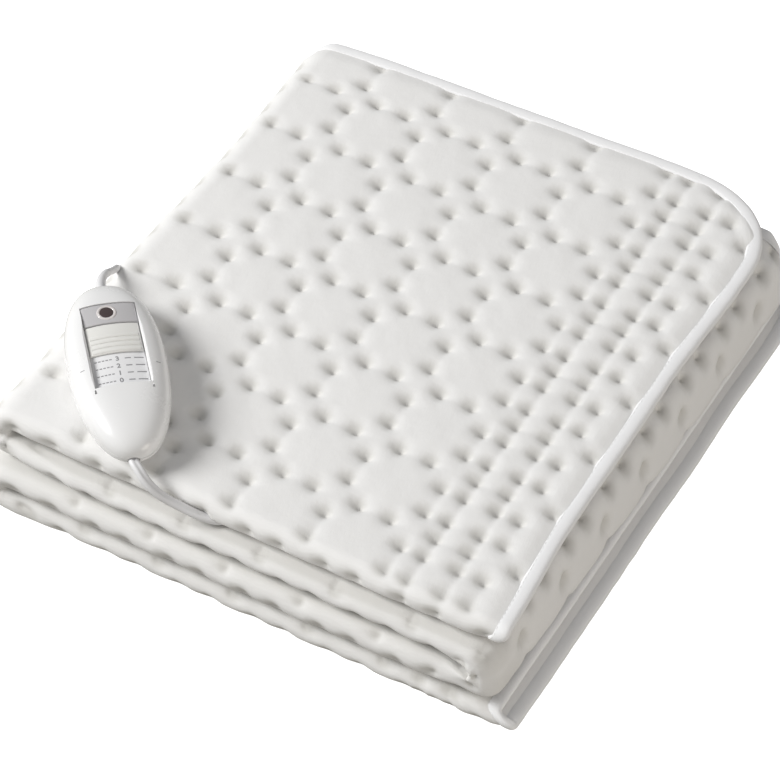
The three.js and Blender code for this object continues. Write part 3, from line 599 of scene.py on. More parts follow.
def carved(mesh: Mesh, cutters: Sequence[Mesh]) -> Mesh:
    """A mesh with the shapes of others cut out of it."""
    obj = object_of(mesh, mesh.name)
    tools = [object_of(c, c.name) for c in cutters]
    for tool in tools:
        cut = obj.modifiers.new(tool.name, "BOOLEAN")
        cut.operation, cut.solver, cut.object = "DIFFERENCE", "EXACT", tool
    result = baked(obj, mesh.name)
    for tool in tools:
        bpy.data.objects.remove(tool)
    return result


class Slot(Enum):
    """Names of material slots."""

    CLOTH = "quilted_cloth"
    TAPE = "binding_tape"
    SWITCH = "switch_plastic"
    SLIDER = "slider_plastic"
    LENS = "lens_plastic"
    LEAD = "lead_plastic"
    PLUG = "plug_plastic"
    PINS = "pin_metal"


class Body(Enum):
    """The bodies that the pieces move with."""

    PAD = "pad"
    SLIDER = "slider"


def dressed(mesh: Mesh, name: str, material: Material,
            stands_for: Sequence[str] = (), body: Body = Body.PAD) -> Object:
    """Makes a finished piece of a mesh.

    Args:
        mesh: its shape, already in place.
        name: the piece's name.
        material: its finish.
        stands_for: the CAD nodes that it replaces.
        body: the CAD body that it moves with.

    Returns:
        The piece.
    """
    obj = object_of(mesh, name)
    mesh.materials.clear()
    mesh.materials.append(material)
    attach(obj, body.value)
    if stands_for:
        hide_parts(*stands_for)
    return obj


# Node trees

class Wiring:
    """A node tree being laid out."""

    def __init__(self, tree: NodeTree) -> None:
        """Works on a tree."""
        self.tree = tree

    def add(self, kind: str, inputs: dict | None = None, **settings: object) -> Node:
        """Adds a node.

        Args:
            kind: its type.
            inputs: as for feed.
            settings: the node's own properties.

        Returns:
            The node.
        """
        node = self.tree.nodes.new(kind)
        for name, value in settings.items():
            setattr(node, name, value)
        self.feed(node, inputs or {})
        return node

    def feed(self, node: Node, inputs: dict) -> None:
        """Sets inputs of a node.

        Args:
            node: the node.
            inputs: for each input's name or number, a value, or the socket or node to join.
        """
        for name, value in inputs.items():
            if isinstance(value, (Node, NodeSocket)):
                source = value.outputs[0] if isinstance(value, Node) else value
                self.tree.links.new(source, node.inputs[name])
            else:
                node.inputs[name].default_value = value

    def maths(self, operation: str, *values: object) -> Node:
        """A Math node on values."""
        return self.add("ShaderNodeMath", dict(enumerate(values)), operation=operation)

    def blend(self, share: object, a: object, b: object) -> NodeSocket:
        """A colour between two, by share."""
        return self.add("ShaderNodeMix", {0: share, 6: a, 7: b}, data_type="RGBA").outputs[2]

    def mottled(self, tint: Node | NodeSocket, amount: float, colour: Colour, darkest: float) -> NodeSocket:
        """A colour that darkens where a tint is high."""
        share = self.maths("MULTIPLY", tint, amount)
        return self.blend(share, (*colour, 1), (*(darkest * c for c in colour), 1))

    def paint(self, shape: Node, finish: NodeSocket, result: Node) -> None:
        """Gives a shape its finish and puts it out."""
        painted = self.add("GeometryNodeSetMaterial", {"Geometry": shape, "Material": finish})
        self.feed(result, {0: painted})


class Sort(Enum):
    """Kinds of socket on a node group."""

    NUMBER = "NodeSocketFloat"
    COUNT = "NodeSocketInt"
    PLACE = "NodeSocketVector"
    SHAPE = "NodeSocketGeometry"
    FINISH = "NodeSocketMaterial"


def new_group(name: str, kind: str, inputs: dict[str, Sort],
              outputs: dict[str, Sort]) -> tuple[Wiring, Node, Node]:
    """Starts a node group with named sockets.

    Args:
        name: the group's name.
        kind: ShaderNodeTree or GeometryNodeTree.
        inputs: the sort of each input.
        outputs: the sort of each output.

    Returns:
        The tree being laid out, its input node and its output node.
    """
    tree = bpy.data.node_groups.new(name, kind)
    for way, sockets in (("INPUT", inputs), ("OUTPUT", outputs)):
        for label, sort in sockets.items():
            tree.interface.new_socket(label, in_out=way, socket_type=sort.value)
    wiring = Wiring(tree)
    return wiring, wiring.add("NodeGroupInput"), wiring.add("NodeGroupOutput")


def fibres_group() -> NodeTree:
    """Tangled fibres of a brushed, needle-punched cloth: a height and a tint."""
    wiring, given, result = new_group(
        "tangled_fibres", "ShaderNodeTree",
        {"Place": Sort.PLACE, "Fibres per metre": Sort.NUMBER},
        {"Height": Sort.NUMBER, "Tint": Sort.NUMBER})
    place, scale = given.outputs[:2]
    heights = []
    for turn, stretch in ((0.5, 7.0), (1.7, 6.0), (2.7, 8.0)):
        laid = wiring.add("ShaderNodeMapping", {
            "Vector": place, "Rotation": (0, 0, turn), "Scale": (1, 1 / stretch, 1)})
        noise = wiring.add("ShaderNodeTexNoise", {
            "Vector": laid, "Scale": scale, "Detail": 3.0, "Distortion": 0.6})
        heights.append(noise)
    top = wiring.maths("MAXIMUM", wiring.maths("MAXIMUM", heights[0], heights[1]), heights[2])
    clumps = wiring.add("ShaderNodeTexNoise", {
        "Vector": place, "Scale": wiring.maths("MULTIPLY", scale, 0.16), "Detail": 4.0})
    wiring.feed(result, {"Height": top, "Tint": clumps})
    return wiring.tree


def weave_group() -> NodeTree:
    """A plain woven tape: the height of its crossing threads."""
    wiring, given, result = new_group(
        "woven_tape", "ShaderNodeTree",
        {"Place": Sort.PLACE, "Threads per metre": Sort.NUMBER},
        {"Height": Sort.NUMBER})
    parts = wiring.add("ShaderNodeSeparateXYZ", {0: given.outputs[0]})
    turns = wiring.maths("MULTIPLY", given.outputs[1], pi)
    waves = [wiring.maths("SINE", wiring.maths("MULTIPLY", parts.outputs[i], turns)) for i in (0, 1)]
    crossing = wiring.maths("MULTIPLY_ADD", wiring.maths("MULTIPLY", waves[0], waves[1]), 0.5, 0.5)
    wiring.feed(result, {"Height": crossing})
    return wiring.tree


def grain_group() -> NodeTree:
    """The fine grain of moulded plastic and the haze that handling leaves on it."""
    wiring, given, result = new_group(
        "moulded_grain", "ShaderNodeTree",
        {"Place": Sort.PLACE, "Grains per metre": Sort.NUMBER},
        {"Height": Sort.NUMBER, "Haze": Sort.NUMBER})
    fine = wiring.add("ShaderNodeTexNoise", {
        "Vector": given.outputs[0], "Scale": given.outputs[1], "Detail": 2.0})
    haze = wiring.add("ShaderNodeTexNoise", {
        "Vector": given.outputs[0], "Scale": 60.0, "Detail": 5.0, "Roughness": 0.65})
    wiring.feed(result, {"Height": fine, "Haze": haze})
    return wiring.tree


class Effects:
    """The shared effects, each built once."""

    def __init__(self) -> None:
        """Builds the node groups."""
        self.fibres = fibres_group()
        self.weave = weave_group()
        self.grain = grain_group()


def new_material(name: str, colour: Colour) -> tuple[Material, Wiring, Node]:
    """An empty material with its Principled shader."""
    material = bpy.data.materials.new(name)
    material.use_nodes = True
    material.diffuse_color = (*colour, 1)
    wiring = Wiring(material.node_tree)
    return material, wiring, material.node_tree.nodes["Principled BSDF"]


@dataclass(frozen=True)
class Cloth:
    """The pad's brushed cloth: fibres, lumps of wadding and painted shade in its pits and creases."""

    name: str
    colour: Colour
    shade: Colour  # painted shade, in the pits and in the creases where rolls touch
    fibres: float  # per metre
    fuzz: float  # height of the fibres, in metres
    lumps: float  # height of the soft lumps, in metres

    def material(self, effects: Effects) -> Material:
        """Builds the material."""
        material, wiring, shader = new_material(self.name, self.colour)
        place = wiring.add("ShaderNodeUVMap", uv_map="cloth")
        fibres = wiring.add("ShaderNodeGroup", {"Place": place, "Fibres per metre": self.fibres},
                            node_tree=effects.fibres)
        # painted shade: the hollow attribute greys the cloth in its pits and creases
        hollow = wiring.add("ShaderNodeAttribute", attribute_name="hollow").outputs["Fac"]
        mottled = wiring.mottled(fibres.outputs["Tint"], 0.3, self.colour, 0.94)
        colour = wiring.blend(wiring.maths("MULTIPLY", hollow, 0.85), mottled, (*self.shade, 1))
        lumps = wiring.add("ShaderNodeTexNoise", {"Vector": place, "Scale": 170.0, "Detail": 3.0})
        soft = wiring.add("ShaderNodeBump", {"Height": lumps, "Distance": self.lumps})
        fine = wiring.add("ShaderNodeBump", {
            "Height": fibres.outputs["Height"], "Distance": self.fuzz, "Normal": soft})
        wiring.feed(shader, {
            "Base Color": colour, "Normal": fine, "Roughness": 0.95,
            "Specular IOR Level": 0.2, "Sheen Weight": 0.12, "Sheen Roughness": 0.6})
        return material


@dataclass(frozen=True)
class Tape:
    """Woven tape or sewing thread."""

    name: str
    colour: Colour
    threads: float  # per metre
    relief: float  # height of the threads, in metres

    def material(self, effects: Effects) -> Material:
        """Builds the material."""
        material, wiring, shader = new_material(self.name, self.colour)
        place = wiring.add("ShaderNodeUVMap", uv_map="cloth")
        weave = wiring.add("ShaderNodeGroup", {"Place": place, "Threads per metre": self.threads},
                           node_tree=effects.weave)
        worn = wiring.add("ShaderNodeTexNoise", {"Vector": place, "Scale": 90.0, "Detail": 4.0})
        bump = wiring.add("ShaderNodeBump", {"Height": weave.outputs["Height"], "Distance": self.relief})
        wiring.feed(shader, {
            "Base Color": wiring.mottled(worn, 0.5, self.colour, 0.95),
            "Normal": bump, "Roughness": 0.75, "Sheen Weight": 0.15})
        return material


@dataclass(frozen=True)
class Plastic:
    """A moulded plastic or a plated metal."""

    name: str
    colour: Colour
    rough: Pair  # where it is clean and where it is hazy
    grain: float  # height of the grain, in metres
    grains: float = 3000.0  # per metre
    coat: float = 0.0
    metal: float = 0.0

    def material(self, effects: Effects) -> Material:
        """Builds the material."""
        material, wiring, shader = new_material(self.name, self.colour)
        place = wiring.add("ShaderNodeTexCoord").outputs["Object"]
        grain = wiring.add("ShaderNodeGroup", {"Place": place, "Grains per metre": self.grains},
                           node_tree=effects.grain)
        haze = grain.outputs["Haze"]
        rough = wiring.add("ShaderNodeMapRange", {
            "Value": haze, "From Min": 0.3, "From Max": 0.7,
            "To Min": self.rough[0], "To Max": self.rough[1]})
        bump = wiring.add("ShaderNodeBump", {"Height": grain.outputs["Height"], "Distance": self.grain})
        wiring.feed(shader, {
            "Base Color": wiring.mottled(haze, 0.35, self.colour, 0.93), "Roughness": rough,
            "Normal": bump, "Metallic": self.metal, "Coat Weight": self.coat,
            "Coat Roughness": 0.05})
        return material


# the second colour is the painted shade of the pits and creases
QUILT_CLOTH = Cloth("brushed_quilt", (0.86, 0.855, 0.845), (0.64, 0.63, 0.60), 1500, 0.14 * MM, 0.2 * MM)
EDGE_TAPE = Tape("edge_tape", (0.92, 0.922, 0.93), 2400, 0.05 * MM)
SEWING_THREAD = Tape("sewing_thread", (0.90, 0.90, 0.90), 3500, 0.04 * MM)
SHELL_WHITE = Plastic("shell_white", (0.86, 0.86, 0.86), (0.20, 0.30), 0.006 * MM, coat=0.25)
SLIDER_IVORY = Plastic("slider_ivory", (0.80, 0.795, 0.765), (0.40, 0.52), 0.02 * MM)
LABEL_WHITE = Plastic("label_white", (0.84, 0.84, 0.85), (0.45, 0.55), 0.01 * MM)
LENS_GREY = Plastic("lens_grey", (0.55, 0.54, 0.55), (0.10, 0.18), 0.003 * MM, coat=0.5)
LAMP_RIM = Plastic("lamp_rim", (0.72, 0.68, 0.67), (0.12, 0.2), 0.003 * MM, coat=0.5)
# painted shade: the dark inside of the lamp, seen through its clear lens
LAMP_PAINTED_SHADE = Plastic("lamp_painted_shade", (0.07, 0.05, 0.05), (0.2, 0.3), 0.004 * MM)
LEAD_WHITE = Plastic("lead_white", (0.76, 0.76, 0.77), (0.34, 0.46), 0.015 * MM)
PLUG_WHITE = Plastic("plug_white", (0.82, 0.82, 0.82), (0.38, 0.5), 0.03 * MM, 2200)
PRINT_GREY = Plastic("print_grey", (0.30, 0.30, 0.31), (0.5, 0.6), 0.005 * MM)
PIN_NICKEL = Plastic("pin_nickel", (0.66, 0.65, 0.62), (0.18, 0.32), 0.008 * MM, 4000, metal=1.0)


# Geometry Nodes

def grown(name: str, base: Mesh | Curve, tree: NodeTree, values: dict[str, object]) -> Mesh:
    """The mesh that a Geometry Nodes tree grows on a base with the given inputs."""
    obj = object_of(base, name)
    modifier = obj.modifiers.new(name, "NODES")
    modifier.node_group = tree
    for item in tree.interface.items_tree:
        if item.in_out == "INPUT" and item.name in values:
            modifier[item.identifier] = values[item.name]
    return baked(obj, name)


def stitches_tree() -> NodeTree:
    """Stitches along a line: short threads, each a little different in length."""
    wiring, given, result = new_group(
        "stitches", "GeometryNodeTree",
        {"Line": Sort.SHAPE, "Apart": Sort.NUMBER, "Long": Sort.NUMBER, "Thick": Sort.NUMBER,
         "Seed": Sort.COUNT, "Finish": Sort.FINISH},
        {"Stitches": Sort.SHAPE})
    line, apart, long, thick, seed, finish = given.outputs[:6]
    points = wiring.add("GeometryNodeCurveToPoints", {"Curve": line, "Length": apart}, mode="LENGTH")
    ball = wiring.add("GeometryNodeMeshUVSphere", {"Segments": 6, "Rings": 5, "Radius": 0.5})
    size = wiring.add("ShaderNodeCombineXYZ", {0: thick, 1: thick, 2: long})
    vary = wiring.add("FunctionNodeRandomValue", {2: 0.85, 3: 1.12, "Seed": seed}, data_type="FLOAT")
    scale = wiring.add("ShaderNodeVectorMath", {0: size, "Scale": vary.outputs[1]},
                       operation="SCALE")
    placed = wiring.add("GeometryNodeInstanceOnPoints", {
        "Points": points.outputs["Points"], "Instance": ball.outputs["Mesh"],
        "Rotation": points.outputs["Rotation"], "Scale": scale})
    real = wiring.add("GeometryNodeRealizeInstances", {0: placed})
    wiring.paint(real, finish, result)
    return wiring.tree


def ridges_tree() -> NodeTree:
    """A row of arched grip ridges, each a rounded bar that follows the switch's face."""
    wiring, given, result = new_group(
        "grip_ridges", "GeometryNodeTree",
        {"Base": Sort.SHAPE, "Count": Sort.COUNT, "Apart": Sort.NUMBER, "Wide": Sort.NUMBER,
         "High": Sort.NUMBER, "Arch radius": Sort.NUMBER, "Half angle": Sort.NUMBER, "Finish": Sort.FINISH},
        {"Ridges": Sort.SHAPE})
    _, count, apart, wide, high, radius, half, finish = given.outputs[:8]
    offset = wiring.add("ShaderNodeCombineXYZ", {1: apart})
    row = wiring.add("GeometryNodeMeshLine", {"Count": count, "Offset": offset},
                     mode="OFFSET", count_mode="TOTAL")
    start = wiring.maths("SUBTRACT", pi / 2, half)
    sweep = wiring.maths("MULTIPLY", half, 2.0)
    arc = wiring.add("GeometryNodeCurveArc", {
        "Resolution": 25, "Radius": radius, "Start Angle": start, "Sweep Angle": sweep}, mode="RADIUS")
    circle = wiring.add("GeometryNodeCurvePrimitiveCircle", {"Resolution": 14, "Radius": 0.5}, mode="RADIUS")
    size = wiring.add("ShaderNodeCombineXYZ", {0: high, 1: wide, 2: 1.0})
    section = wiring.add("GeometryNodeTransform", {"Geometry": circle, "Scale": size})
    bar = wiring.add("GeometryNodeCurveToMesh", {
        "Curve": arc, "Profile Curve": section, "Fill Caps": True})
    upright = wiring.add("GeometryNodeTransform", {
        "Geometry": bar, "Rotation": (pi / 2, 0, 0)})
    placed = wiring.add("GeometryNodeInstanceOnPoints", {
        "Points": row, "Instance": upright})
    real = wiring.add("GeometryNodeRealizeInstances", {0: placed})
    wiring.paint(real, finish, result)
    return wiring.tree


def marks_tree() -> NodeTree:
    """Rows and columns of small printed dashes on an arched face."""
    wiring, given, result = new_group(
        "printed_dashes", "GeometryNodeTree",
        {"Base": Sort.SHAPE, "Columns": Sort.COUNT, "Rows": Sort.COUNT, "Column step": Sort.PLACE,
         "Row step": Sort.PLACE, "First": Sort.PLACE, "Dash": Sort.PLACE, "Arch radius": Sort.NUMBER,
         "Finish": Sort.FINISH},
        {"Dashes": Sort.SHAPE})
    _, columns, rows, column_step, row_step, first, dash, radius, finish = given.outputs[:9]
    across = wiring.add("GeometryNodeMeshLine", {"Count": columns, "Offset": column_step},
                        mode="OFFSET", count_mode="TOTAL")
    down = wiring.add("GeometryNodeMeshLine", {
        "Count": rows, "Start Location": first, "Offset": row_step}, mode="OFFSET", count_mode="TOTAL")
    bar = wiring.add("GeometryNodeMeshCube", {"Size": dash, "Vertices X": 4})
    one_row = wiring.add("GeometryNodeInstanceOnPoints", {
        "Points": across, "Instance": bar})
    all_rows = wiring.add("GeometryNodeInstanceOnPoints", {
        "Points": down, "Instance": one_row})
    real = wiring.add("GeometryNodeRealizeInstances", {0: all_rows})
    across_face = wiring.add("ShaderNodeSeparateXYZ", {0: wiring.add("GeometryNodeInputPosition")})
    squared = wiring.maths("MULTIPLY", across_face, across_face)
    drop = wiring.maths("MULTIPLY", wiring.maths("DIVIDE", squared, radius), -0.5)
    offset = wiring.add("ShaderNodeCombineXYZ", {2: drop})
    arched = wiring.add("GeometryNodeSetPosition", {"Geometry": real, "Offset": offset})
    wiring.paint(arched, finish, result)
    return wiring.tree


# The quilted pad

@dataclass
class Block:
    """A patch of the pad's faces, laid out on stations along it and across it."""

    side: int  # 1 is the outer face, -1 the inner one
    quilted: bool
    s: list[float]
    w: list[float]


@dataclass
class QuiltedPad:
    """The cloth of the pad: one closed skin that follows every fold."""

    path: FoldedPath
    quilt: Quilting = field(default_factory=Quilting)
    edge_taper: float = 0.32
    edge_thin: float = 0.4
    fine: float = 18.0  # stations in a repeat between the rows of dots; more lie near each row
    plain: float = 12.0  # on the left folds
    roll_reach: float = 1.2  # how far across the front roll's stations reach
    near_dot: tuple[float, ...] = (-0.078, -0.048, -0.023, 0.0, 0.023, 0.048, 0.078)
    on_rolls: Pair = (0.75, 0.35)  # share of the relief on a roll's face and where rolls touch
    on_left: float = 0.45
    on_right: float = 1.7  # the slack fold on the right puckers more
    on_crease: float = 0.75  # strength of the painted shade in the creases where rolls touch

    def __post_init__(self) -> None:
        """Makes the stations of the front roll, which every block shares."""
        seen = self.roll_reach
        self.roll = [-seen, -1.1, *np.linspace(-1, 1, 21), 1.1, seen]

    def surface(self, s: Array, w: Array, side: Array, quilted: Array) -> tuple[Array, Array]:
        """Points of the pad's faces and how much painted shade each gets, round the pits and in the creases
        where rolls touch.

        Args:
            s, w: places along and across the pad.
            side: 1 on the upper face and -1 on the lower one.
            quilted: whether a place lies where the pattern is.
        """
        at, path = self.path.at(s), self.path
        wide = path.drawn_in(s, w)
        ply, middle = (at.thick - path.ply_gap) / 2, (at.thick + path.ply_gap) / 4
        from_end = np.minimum(s, path.length - s)
        from_edge = np.minimum(from_end, path.edge - np.abs(w))
        plump = mix(self.edge_thin, 1.0, smooth(from_edge / self.edge_taper))
        depth, hollow = self.quilt.relief(path.top_end - s, at.phase - path.cloth_across(s, wide), from_end)
        raised = np.where(quilted & (side > 0), plump * self._strength(s, w), 0)
        r = middle + side * ply / 2 * plump - depth * raised
        # painted shade in the creases where one roll lies on another
        painted_crease_shade = self.on_crease * path.touching(s, wide) ** 0.4 * (side > 0)
        return path.place(s, wide, r), np.maximum(hollow * (raised > 0), painted_crease_shade)

    def _strength(self, s: Array, w: Array) -> Array:
        """How strongly the quilting shows: less where the cloth is stretched round rolls and left folds."""
        top, left, _, right, _, lower_left, _ = self.path.stretches
        value = np.ones_like(s)
        for fold, share in ((left, self.on_left), (right, self.on_right), (lower_left, self.on_left)):
            inside = smooth((s - fold.start + 0.25) / 0.35) * smooth((fold.end + 0.25 - s) / 0.35)
            if fold is right:
                inside = inside * (1 - 0.8 * smooth((s - fold.end + 0.4) / 0.4))
            value = mix(value, share, inside)
        touching = smooth((np.abs(w) - 0.35) / 0.35) * np.where((s <= top.end) & (w > 0), 0.3, 1.0)
        return mix(value, mix(*self.on_rolls, touching), smooth((1.3 - np.abs(w)) / 0.5))

    def _evenly(self, start: float, end: float, per_repeat: float) -> list[float]:
        """Stations about evenly apart."""
        return list(np.linspace(start, end, max(2, round((end - start) * per_repeat)) + 1))

    def _clustered(self, start: float, end: float, origin: float, rows: Sequence[float]) -> list[float]:
        """Stations that lie closer together near the rows of dots.

        Args:
            start: the first station.
            end: the last one.
            origin: a station where the pattern starts.
            rows: where the dots' rows lie in one repeat.

        Returns:
            The stations in order.
        """
        base, step = [start, end], 1 / self.fine
        for row in rows:
            first = ceil(start - origin - row - 0.1)
            for n in range(first, first + ceil(end - start) + 2):
                base += [origin + row + n + d for d in self.near_dot if start < origin + row + n + d < end]
        base = sorted(base)
        spread = [base[0]]
        for place in base[1:]:
            gap = place - spread[-1]
            if gap < 0.008 and place != end:
                continue
            parts = max(1, round(gap / step))
            spread += [mix(place - gap, place, (i + 1) / parts) for i in range(parts)]
        return spread

    def _corners(self) -> list[float]:
        """Stations where the rounded corners need them, at both short ends."""
        rises = [1 - cos(j * pi / 24) for j in range(13)]
        top, base = self.path.corner
        return [top * r for r in rises] + [self.path.length - base * r for r in rises]

    def _along(self, stretch: Stretch, per_repeat: float) -> list[float]:
        """Stations along a stretch; zero stations in a repeat leaves only what its form needs."""
        start, end = stretch.start, stretch.end
        if per_repeat == self.fine:
            base = self._clustered(start, end, self.path.top_end % 1, ROWS_ALONG)
        elif per_repeat:
            base = self._evenly(start, end, per_repeat)
        elif stretch.is_fold:
            return list(np.linspace(start, end, 13))
        else:
            base = [start, *(mix(start, end, t) for t in (0.15, 0.4, 0.6, 0.85)), end]
        extra = [c for c in self._corners() if start + 0.01 < c < end - 0.01]
        kept = [b for b in base if b in (start, end) or all(abs(b - c) > 0.012 for c in extra)]
        return sorted(kept + extra)

    def _across(self, stretch: Stretch, side: int, per_repeat: float) -> list[float]:
        """Stations across one flat ply, from the roll to the edge."""
        edge, layer = self.path.edge, self.path.layers[stretch.k]
        near = list(np.linspace(edge - self.edge_taper, edge, 7))
        if per_repeat == self.fine:
            quarter = pi / 4 * layer.thick
            origin = 1 - quarter + side * layer.phase
            rows = [-side * row % 1 for row in ROWS_ACROSS]
            ws = self._clustered(self.roll_reach, near[0], origin % 1, rows)[:-1] + near
        elif per_repeat:
            ws = self._evenly(self.roll_reach, near[0], per_repeat)[:-1] + near
        else:
            ws = [self.roll_reach, 2.6, 4.2, edge - self.path.corner_reach, edge - 0.8, edge]
        return ws if side > 0 else [-w for w in ws[::-1]]

    def blocks(self) -> list[Block]:
        """All blocks, the quilted ones first."""
        made = []
        for stretch in self.path.stretches:
            on_left = stretch.is_fold and stretch.k != 1
            upper = self.fine if not stretch.is_fold and stretch.k == 0 else self.plain if on_left else 0.0
            lower = self.fine if stretch.is_fold and stretch.k == 1 else 0.0
            roll = self.plain if on_left else self.fine
            made.append(Block(1, True, self._along(stretch, roll), self.roll))
            inner_roll = [-self.roll_reach, -1, -0.5, 0, 0.5, 1, self.roll_reach]
            made.append(Block(-1, False, self._along(stretch, 0), inner_roll))
            for side, density in ((1, upper), (-1, lower)):
                made.append(Block(1, density > 0, self._along(stretch, density),
                                  self._across(stretch, side, density)))
                made.append(Block(-1, False, self._along(stretch, 0), self._across(stretch, side, 0)))
        return sorted(made, key=lambda b: not b.quilted)

    def mesh(self) -> Mesh:
        """Builds the closed skin. A coarse cell takes in the finer stations on its edge."""
        rows: dict[tuple, int] = {}
        places: list[tuple[float, float, int, bool]] = []
        lines: dict[tuple, dict[int, float]] = {}

        def rounded(value: float) -> int:
            """A place as a whole number, so that equal places share one key."""
            return round(value * 1e5)

        def vertex(side: int, s: float, w: float, quilted: bool = False) -> int:
            """The vertex at a place on one side, made when first asked for."""
            key = (side, rounded(s), rounded(w))
            if key not in rows:
                rows[key] = len(places)
                places.append((s, w, side, quilted))
            return rows[key]

        def at_edge(s: float, w: float) -> bool:
            """Whether a place lies on the pad's outer edge."""
            return s == 0 or abs(s - self.path.length) < 1e-9 or abs(abs(w) - self.path.edge) < 1e-9

        blocks, grids = self.blocks(), []
        for block in blocks:
            grids.append([[vertex(block.side, s, w, block.quilted) for w in block.w] for s in block.s])
            for s in block.s:
                for w in (block.w[0], block.w[-1]):
                    for side in ((1, -1) if at_edge(s, w) else (block.side,)):
                        lines.setdefault(("along", side, rounded(w)), {})[rounded(s)] = s
            for w in block.w:
                for s in (block.s[0], block.s[-1]):
                    for side in ((1, -1) if at_edge(s, w) else (block.side,)):
                        lines.setdefault(("across", side, rounded(s)), {})[rounded(w)] = w
        sorted_lines = {key: sorted(line.values()) for key, line in lines.items()}

        def between(kind: str, side: int, at: float, start: float, end: float) -> list[float]:
            """The stations of one grid line from one place to another, ends included."""
            line = sorted_lines.get((kind, side, rounded(at)))
            if line is None:
                return [start, end]
            return line[bisect_left(line, start - 1e-7): bisect_right(line, end + 1e-7)]

        faces: list[tuple[int, ...]] = []
        for block, grid in zip(blocks, grids):
            rows_last, columns_last = len(block.s) - 2, len(block.w) - 2
            for i in range(rows_last + 1):
                for j in range(columns_last + 1):
                    ids = [grid[i][j], grid[i + 1][j], grid[i + 1][j + 1], grid[i][j + 1]]
                    if i in (0, rows_last) or j in (0, columns_last):
                        s0, s1, w0, w1 = block.s[i], block.s[i + 1], block.w[j], block.w[j + 1]
                        ring = [(s, w0) for s in between("along", block.side, w0, s0, s1)]
                        ring += [(s1, w) for w in between("across", block.side, s1, w0, w1)[1:]]
                        ring += [(s, w1) for s in between("along", block.side, w1, s0, s1)[::-1][1:]]
                        ring += [(s0, w) for w in between("across", block.side, s0, w0, w1)[::-1][1:-1]]
                        ids = [vertex(block.side, s, w) for s, w in ring]
                        if len(ids) > 4:
                            centre = len(places)
                            places.append(((s0 + s1) / 2, (w0 + w1) / 2, block.side, block.quilted))
                            turned = ids if block.side > 0 else ids[::-1]
                            faces += [(a, b, centre) for a, b in zip(turned, turned[1:] + turned[:1])]
                            continue
                    faces.append(tuple(ids if block.side > 0 else ids[::-1]))

        def wall(first: Pair, then: Pair) -> None:
            """Adds a face at the edge, from the upper side to the lower one."""
            faces.append((vertex(1, *first), vertex(-1, *first), vertex(-1, *then), vertex(1, *then)))

        edge, length = self.path.edge, self.path.length
        for w in (-edge, edge):
            line = between("along", 1, w, 0, length)
            for a, b in zip(line, line[1:]):
                wall(*(((a, w), (b, w)) if w < 0 else ((b, w), (a, w))))
        for s in (0, length):
            line = between("across", 1, s, -edge, edge)
            for a, b in zip(line, line[1:]):
                wall(*(((s, a), (s, b)) if s > 0 else ((s, b), (s, a))))
        s, w, side, quilted = (np.array(column) for column in zip(*places))
        points, hollow = self.surface(s, w, side, quilted.astype(bool))
        mesh = mesh_of("quilted_pad", points, faces)
        # the hollow attribute is painted shade: grey in the pits and in the creases where rolls touch
        mesh.attributes.new("hollow", "FLOAT", "POINT").data.foreach_set("value", hollow.astype(np.float32))
        set_uv(mesh, np.stack([s, w], axis=-1) * PITCH)
        return facing_out(mesh)

    def build(self, effects: Effects, lead: Array, room: float) -> Object:
        """Makes the pad and presses the way of the lead into it.

        Args:
            effects: the shared effects.
            lead: points of the lead that slips between its layers.
            room: distance that the cloth keeps from the lead's middle.

        Returns:
            The piece.
        """
        mesh = self.mesh()
        make_way(mesh, lead, room)
        pad = dressed(mesh, "quilted_pad", QUILT_CLOTH.material(effects), ["pad"])
        return pad


def make_way(mesh: Mesh, line: Array, room: float) -> None:
    """Presses a mesh aside where a lead passes.

    Args:
        mesh: the mesh to press.
        line: points along the lead's middle.
        room: the distance from them that stays free.
    """
    points = np.empty(len(mesh.vertices) * 3, np.float32)
    mesh.vertices.foreach_get("co", points)
    points = points.reshape(-1, 3).astype(float)
    low, high = line.min(axis=0) - 3 * room, line.max(axis=0) + 3 * room
    near = np.flatnonzero(np.all((points > low) & (points < high), axis=1))
    gaps = points[near][:, None] - line[None]
    distance = np.linalg.norm(gaps, axis=2)
    nearest = distance.argmin(axis=1)
    away = gaps[np.arange(len(near)), nearest]
    d = distance.min(axis=1)
    soft = np.sqrt(d**2 + room**2 * np.exp(-((d / room) ** 2)))
    grow = np.where(d < 2.2 * room, soft / np.maximum(d, 1e-6), 1.0)
    points[near] = line[nearest] + away * grow[:, None]
    mesh.vertices.foreach_set("co", points.astype(np.float32).ravel())
    mesh.update()


